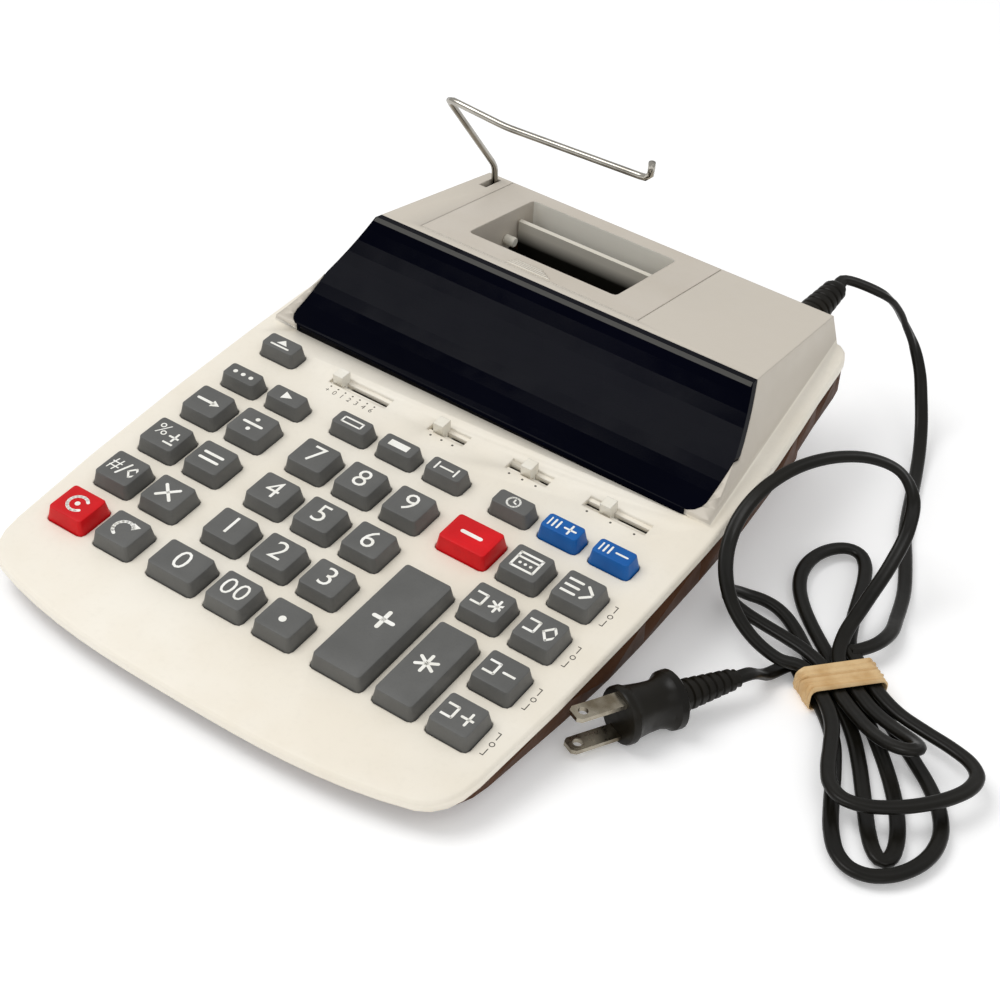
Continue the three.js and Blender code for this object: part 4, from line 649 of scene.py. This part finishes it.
def glyph(shapes, name):
    """White legend of a key: digits and signs as they are, plain signs in place of words."""
    t = 0.85
    if name.isdigit():
        shapes.text(name, 0, 0.1, 8.6 if len(name) == 1 else 7.6)
    elif name == "point":
        shapes.dot(0, -0.4, 0.95)
    elif name == "plus":
        shapes.line([(-2.6, 0), (2.6, 0)], 1.1)
        shapes.line([(0, -2.6), (0, 2.6)], 1.1)
    elif name == "minus":
        shapes.line([(-2.6, 0), (2.6, 0)], 1.1)
    elif name == "times":
        shapes.line([(-2.1, -2.1), (2.1, 2.1)], t)
        shapes.line([(-2.1, 2.1), (2.1, -2.1)], t)
    elif name == "divide":
        shapes.line([(-2.7, 0), (2.7, 0)], t)
        shapes.dot(0, 2, 0.62)
        shapes.dot(0, -2, 0.62)
    elif name == "equals":
        shapes.line([(-2.7, 1.1), (2.7, 1.1)], t)
        shapes.line([(-2.7, -1.1), (2.7, -1.1)], t)
    elif name == "shift":
        shapes.line([(-3.2, 0), (1.6, 0)], t)
        shapes.polygon([(1.2, -1.25), (3.5, 0), (1.2, 1.25)])
    elif name == "percent":
        shapes.text("%", -1.9, 0.9, 5.6)
        shapes.line([(1.1, 0), (4.3, 0)], 0.6)
        shapes.line([(2.7, -1.4), (2.7, 1.6)], 0.6)
        shapes.line([(1.1, -2.5), (4.3, -2.5)], 0.6)
    elif name == "number":
        shapes.text("#", -2.6, 0.3, 6.0)
        shapes.line([(-0.5, -2.2), (1.1, 2.2)], 0.55)
        shapes.line([(3.2, -1.7), (4.6, 0), (3.2, 1.7), (1.8, 0)], 0.55, True)
    elif name == "sign":
        shapes.arc(0, 0, 2.5, 35, 250, t)
        shapes.polygon([(1.0, 3.0), (3.4, 2.5), (1.9, 0.7)])
    elif name == "total":
        star(shapes, 0, 2.6, 90, t)
    elif name.startswith("memory"):
        shapes.line([(-4.4, -1.7), (-4.4, 1.7), (-1.0, 1.7), (-1.0, -1.7)], 0.65, True)
        if name == "memory_subtotal":
            shapes.line([(2.6, -2.2), (4.4, 0), (2.6, 2.2), (0.8, 0)], 0.65, True)
        elif name == "memory_total":
            star(shapes, 2.6, 1.9, 30, 0.65)
        else:
            shapes.line([(0.8, 0), (4.4, 0)], 0.65)
            if name == "memory_plus":
                shapes.line([(2.6, -1.8), (2.6, 1.8)], 0.65)
    elif name.startswith("tax"):
        for x in (-4.4, -2.9, -1.4):
            shapes.line([(x, -1.4), (x, 1.4)], 0.6)
        shapes.line([(0.6, 0), (4.2, 0)], 0.65)
        if name == "tax_plus":
            shapes.line([(2.4, -1.8), (2.4, 1.8)], 0.65)
    elif name == "grand_total":
        shapes.line([(-3.9, 0), (-0.1, 0)], 0.75)
        shapes.line([(-3.9, 2.1), (-0.1, 2.1)], 0.75)
        shapes.line([(-3.9, -2.1), (-0.1, -2.1)], 0.75)
        shapes.line([(1.6, 2.1), (3.9, 0), (1.6, -2.1)], 0.75)
    elif name == "calendar":
        shapes.line([(-3.1, -2.4), (-3.1, 2.6), (3.1, 2.6), (3.1, -2.4)], 0.65, True)
        shapes.line([(-3.1, 1.1), (3.1, 1.1)], 0.6)
        for x in (-1.5, 0, 1.5):
            shapes.dot(x, -0.6, 0.42)
    elif name == "clock":
        shapes.arc(0, 0, 2.0, 0, 360, 0.6)
        shapes.line([(0, 1.1), (0, 0), (0.9, -0.3)], 0.5)
    elif name == "clear":
        shapes.arc(0, 0, 2.5, 40, 320, t)
        shapes.dot(0, 0, 0.7)
    elif name == "mode":
        for x in (-3, 0, 3):
            shapes.dot(x, 0, 0.75)
    elif name == "start":
        shapes.polygon([(-1.4, -1.7), (1.9, 0), (-1.4, 1.7)])
    elif name == "feed":
        shapes.line([(-3.2, -1.4), (3.2, -1.4)], 0.7)
        shapes.polygon([(-1.9, -0.3), (1.9, -0.3), (0, 1.9)])
    elif name == "cost":
        shapes.line([(-3.4, -1.1), (-3.4, 1.1), (3.4, 1.1), (3.4, -1.1)], 0.6, True)
    elif name == "sell":
        shapes.polygon([(-3.4, -1.2), (3.4, -1.2), (3.4, 1.2), (-3.4, 1.2)])
    elif name == "margin":
        shapes.line([(-3.4, -1.5), (-3.4, 1.5)], 0.6)
        shapes.line([(3.4, -1.5), (3.4, 1.5)], 0.6)
        shapes.line([(-2.2, 0), (2.2, 0)], 0.6)


def make_key(node):
    name = node[4:]
    local = [DESK @ v.co / MM for v in nodes[node].data.vertices]
    above = [p for p in local if p.z > -2]  # the cap alone, without what is below the deck
    x0, x1 = min(p.x for p in above), max(p.x for p in above)
    y0, y1 = min(p.y for p in above), max(p.y for p in above)
    width, depth = x1 - x0, y1 - y0
    points, faces = lofted(cap_rings(width, depth))
    split = len(faces)
    shapes = Shapes(0.03, 0.4)
    glyph(shapes, name)
    grow = DEEP_GROWTH if depth > DEEP_KEY else SHALLOW_GROWTH
    join(points, faces, [(x * grow, y * grow, z + CAP_HEIGHT - LEGEND_SINK) for x, y, z in shapes.points],
         shapes.faces)
    place = DECK @ Matrix.Scale(MM, 4) @ Matrix.Translation(((x0 + x1) / 2, (y0 + y1) / 2, 0))
    mesh = mesh_of("cap_" + name, points, faces, place, [0] * split + [1] * (len(faces) - split))
    look = KEY_LOOKS.get(name, "grey")
    piece("cap_" + name, mesh, node, [look, "legend"], (node,), 35)


for node in sorted(nodes):
    if node.startswith("key_") and node != "key_board":
        make_key(node)


# Body: the CAD solids' shapes, welded and smoothly shaded, with their finish

def dressed(node, look, body, angle=28):
    mesh = nodes[node].data.copy()
    mesh.materials.clear()
    shell = bmesh.new()
    shell.from_mesh(mesh)
    bmesh.ops.remove_doubles(shell, verts=shell.verts, dist=0.000002)
    shell.to_mesh(mesh)
    shell.free()
    return piece(node + "_shell", mesh, body, look, (node,), angle)


for node, look, body, slot in (
        ("upper_case", "cream", "case", "case_cream"), ("bottom_case", "brown", "case", "case_brown"),
        ("display_lens", "lens", "case", "lens"), ("display_tube", "steel", "case", "tube"),
        ("printer_cover", "cover", "printer_cover", "cover"), ("paper_arm", "chrome", "paper_arm", "chrome"),
        ("printer_frame", "frame", "case", "frame_black"), ("feed_roller", "roller", "feed_roller", "roller"),
        ("ink_roller", "ink", "ink_roller", "ink"), ("key_board", "board", "case", "board"),
        ("transformer", "steel", "case", "steel"),
        ("switch_decimal", "switch", "switch_decimal", "case_cream"),
        ("switch_rounding", "switch", "switch_rounding", "case_cream"),
        ("switch_total", "switch", "switch_total", "case_cream"),
        ("switch_power", "switch", "switch_power", "case_cream")):
    dressed(node, look, body)


def on_deck(name, shapes, look, body="case", place=Matrix.Identity(4)):
    mesh = mesh_of(name, shapes.points, shapes.faces, DECK @ Matrix.Scale(MM, 4) @ place)
    return piece(name, mesh, body, look, (), 30)


# Deck print: scales under the switches and brackets beside four keys

SWITCH_WELLS = ((-53, -29, "+012346"), (-11.5, 3.5, ""), (20.5, 37, ""), (51, 75, ""))
SCALE_DOTS, SCALE_DIGITS, DIGIT_SIZE = 102.7, 100.4, 3.0
BRACKET_X, BRACKET_FEET, BRACKET_REACH = 85.6, (59.8, 39, 18.1, -3), 2.6


def deck_print():
    shapes = Shapes(0.03, 0.2)
    for left, right, marks in SWITCH_WELLS:
        for i, mark in enumerate(marks):
            x = left + 2.2 + i * 3.1
            shapes.dot(x, SCALE_DOTS, 0.34)
            shapes.text(mark, x, SCALE_DIGITS, DIGIT_SIZE)
        if not marks:
            for x in np.linspace(left + 3, right - 3, 3):
                shapes.dot(x, SCALE_DOTS - 0.1, 0.42)
    for foot in BRACKET_FEET:
        low, high = foot + 2.6, foot + 12
        for y, reach in ((low, BRACKET_REACH), (high, -BRACKET_REACH)):
            shapes.line([(BRACKET_X - 1, y), (BRACKET_X, y), (BRACKET_X, y + reach)], 0.32)
        shapes.arc(BRACKET_X, (low + high) / 2, 0.8, 0, 360, 0.28)
    on_deck("deck_print", shapes, "print")


# Small parts round the printer: cover's front and back edge in the deck frame, as (y, z)

COVER_FRONT, COVER_BACK = (163.3, 25.2), (230.5, 10.1)
GRIP_FOOT, GRIP_PITCH = 172.6, 1.15
LENS_RADIUS, LENS_CENTRE, LENS_HALF_WIDTH = 73.3, (109.6, 75.1), 77.6
BEVEL_START, BEVEL_SWEEP = -42.75, 1.3
PINS_LEFT = -48.9
GEAR_PLACE, GEAR_TIP, GEAR_ROOT = (197.6, -0.4), 2.5, 1.9


def cover_ribs():
    """Finger grip: four low ridges along the cover's front edge."""
    shapes = Shapes(0.35, 0.6)
    for i in range(4):
        y = GRIP_FOOT + i * GRIP_PITCH
        shapes.stroke((-26 + i * 0.4, y), (-9 - i * 1.6, y), 0.6)
    (front, high), (back, low) = COVER_FRONT, COVER_BACK
    slope = Matrix.Rotation(math.atan2(low - high, back - front), 4, "X")
    lift = Matrix.Translation((0, front, high)) @ slope @ Matrix.Translation((0, -front, 0))
    on_deck("cover_grip", shapes, "cover", "printer_cover", lift)


def lens_strip():
    """Dark bevel along the top of the curved display face."""
    outline = []
    for radius, steps in ((LENS_RADIUS - 0.12, range(5)), (LENS_RADIUS + 0.4, reversed(range(5)))):
        for i in steps:
            a = math.radians(BEVEL_START - BEVEL_SWEEP * i / 4)
            outline.append((LENS_CENTRE[0] + radius * math.cos(a), LENS_CENTRE[1] + radius * math.sin(a)))
    rings = [[(x, y, z) for y, z in outline] for x in (-LENS_HALF_WIDTH, LENS_HALF_WIDTH)]
    points, faces = lofted(rings)
    mesh = mesh_of("lens_bevel", points, faces, DECK @ Matrix.Scale(MM, 4))
    piece("lens_bevel", mesh, "case", "bevel", (), 30)


def rod(x0, x1, y, z, radius, sides=20):
    """A turned pin along X with softened ends, as rings for lofted."""
    angles = [math.tau * i / sides for i in range(sides)]
    ends = ((x0, radius * 0.85), (x0 + 0.3, radius), (x1 - 0.3, radius), (x1, radius * 0.85))
    return [[(x, y + r * math.cos(t), z + r * math.sin(t)) for t in angles] for x, r in ends]


def gear(x0, x1, y, z, teeth=12):
    """A small toothed wheel along X, as rings for lofted."""
    outline = []
    for i in range(teeth * 4):
        t = math.tau * i / (teeth * 4)
        r = GEAR_TIP if i % 4 < 2 else GEAR_ROOT
        outline.append((y + r * math.cos(t), z + r * math.sin(t)))
    return [[(x, *corner) for corner in outline] for x in (x0, x1)]


def paper_pins():
    """White pins and a small gear at the left end of the paper opening."""
    points, faces = [], []
    for rings in (rod(PINS_LEFT, -44.4, 204.5, 5.0, 1.9), rod(PINS_LEFT, -45.2, 200.8, 2.2, 1.5),
                  gear(-47.8, -46.6, *GEAR_PLACE)):
        join(points, faces, *lofted(rings))
    mesh = mesh_of("paper_pins", points, faces, DECK @ Matrix.Scale(MM, 4))
    piece("paper_pins", mesh, "printer_cover", "white", (), 30)


lens_strip()
paper_pins()
deck_print()
cover_ribs()


# Surroundings

FLOOR_HALF, FLOOR_GLOW, WORLD_LIGHT = 4.0, 0.2, 0.62
LAMPS = (("key_light", (-0.7, -0.5, 1.5), 0.9, 11), ("fill_light", (0.9, -0.9, 1.2), 1.2, 3))


def make_stage():
    """Pale floor, even world light and two soft lamps."""
    size = FLOOR_HALF
    points = [(-size, -size, 0), (size, -size, 0), (size, size, 0), (-size, size, 0)]
    mesh = mesh_of("studio_floor", points, [(0, 1, 2, 3)])
    material, tree, shader = node_tree("white_floor")
    tone = mixed(tree, spread(tree, noise(tree, 1.5), 0, 1), (0.93, 0.93, 0.93), (0.96, 0.96, 0.96))
    tree.links.new(tone, shader.inputs["Base Color"])
    shader.inputs["Roughness"].default_value = 0.9
    shader.inputs["Specular IOR Level"].default_value = 0.1
    shader.inputs["Emission Color"].default_value = (1, 1, 1, 1)
    shader.inputs["Emission Strength"].default_value = FLOOR_GLOW
    mesh.materials.append(material)
    floor = bpy.data.objects.new("studio_floor", mesh)
    bpy.context.scene.collection.objects.link(floor)
    world = bpy.data.worlds.new("studio")
    bpy.context.scene.world = world
    world.use_nodes = True
    world.node_tree.nodes["Background"].inputs["Color"].default_value = (1, 1, 1, 1)
    world.node_tree.nodes["Background"].inputs["Strength"].default_value = WORLD_LIGHT
    for name, place, size, power in LAMPS:
        data = bpy.data.lights.new(name, "AREA")
        data.size, data.energy = size, power
        lamp = bpy.data.objects.new(name, data)
        bpy.context.scene.collection.objects.link(lamp)
        lamp.location = place
        lamp.rotation_mode = "QUATERNION"
        lamp.rotation_quaternion = (-Vector(place)).to_track_quat("-Z", "Y")


make_stage()
bpy.context.scene.view_settings.view_transform = "Standard"
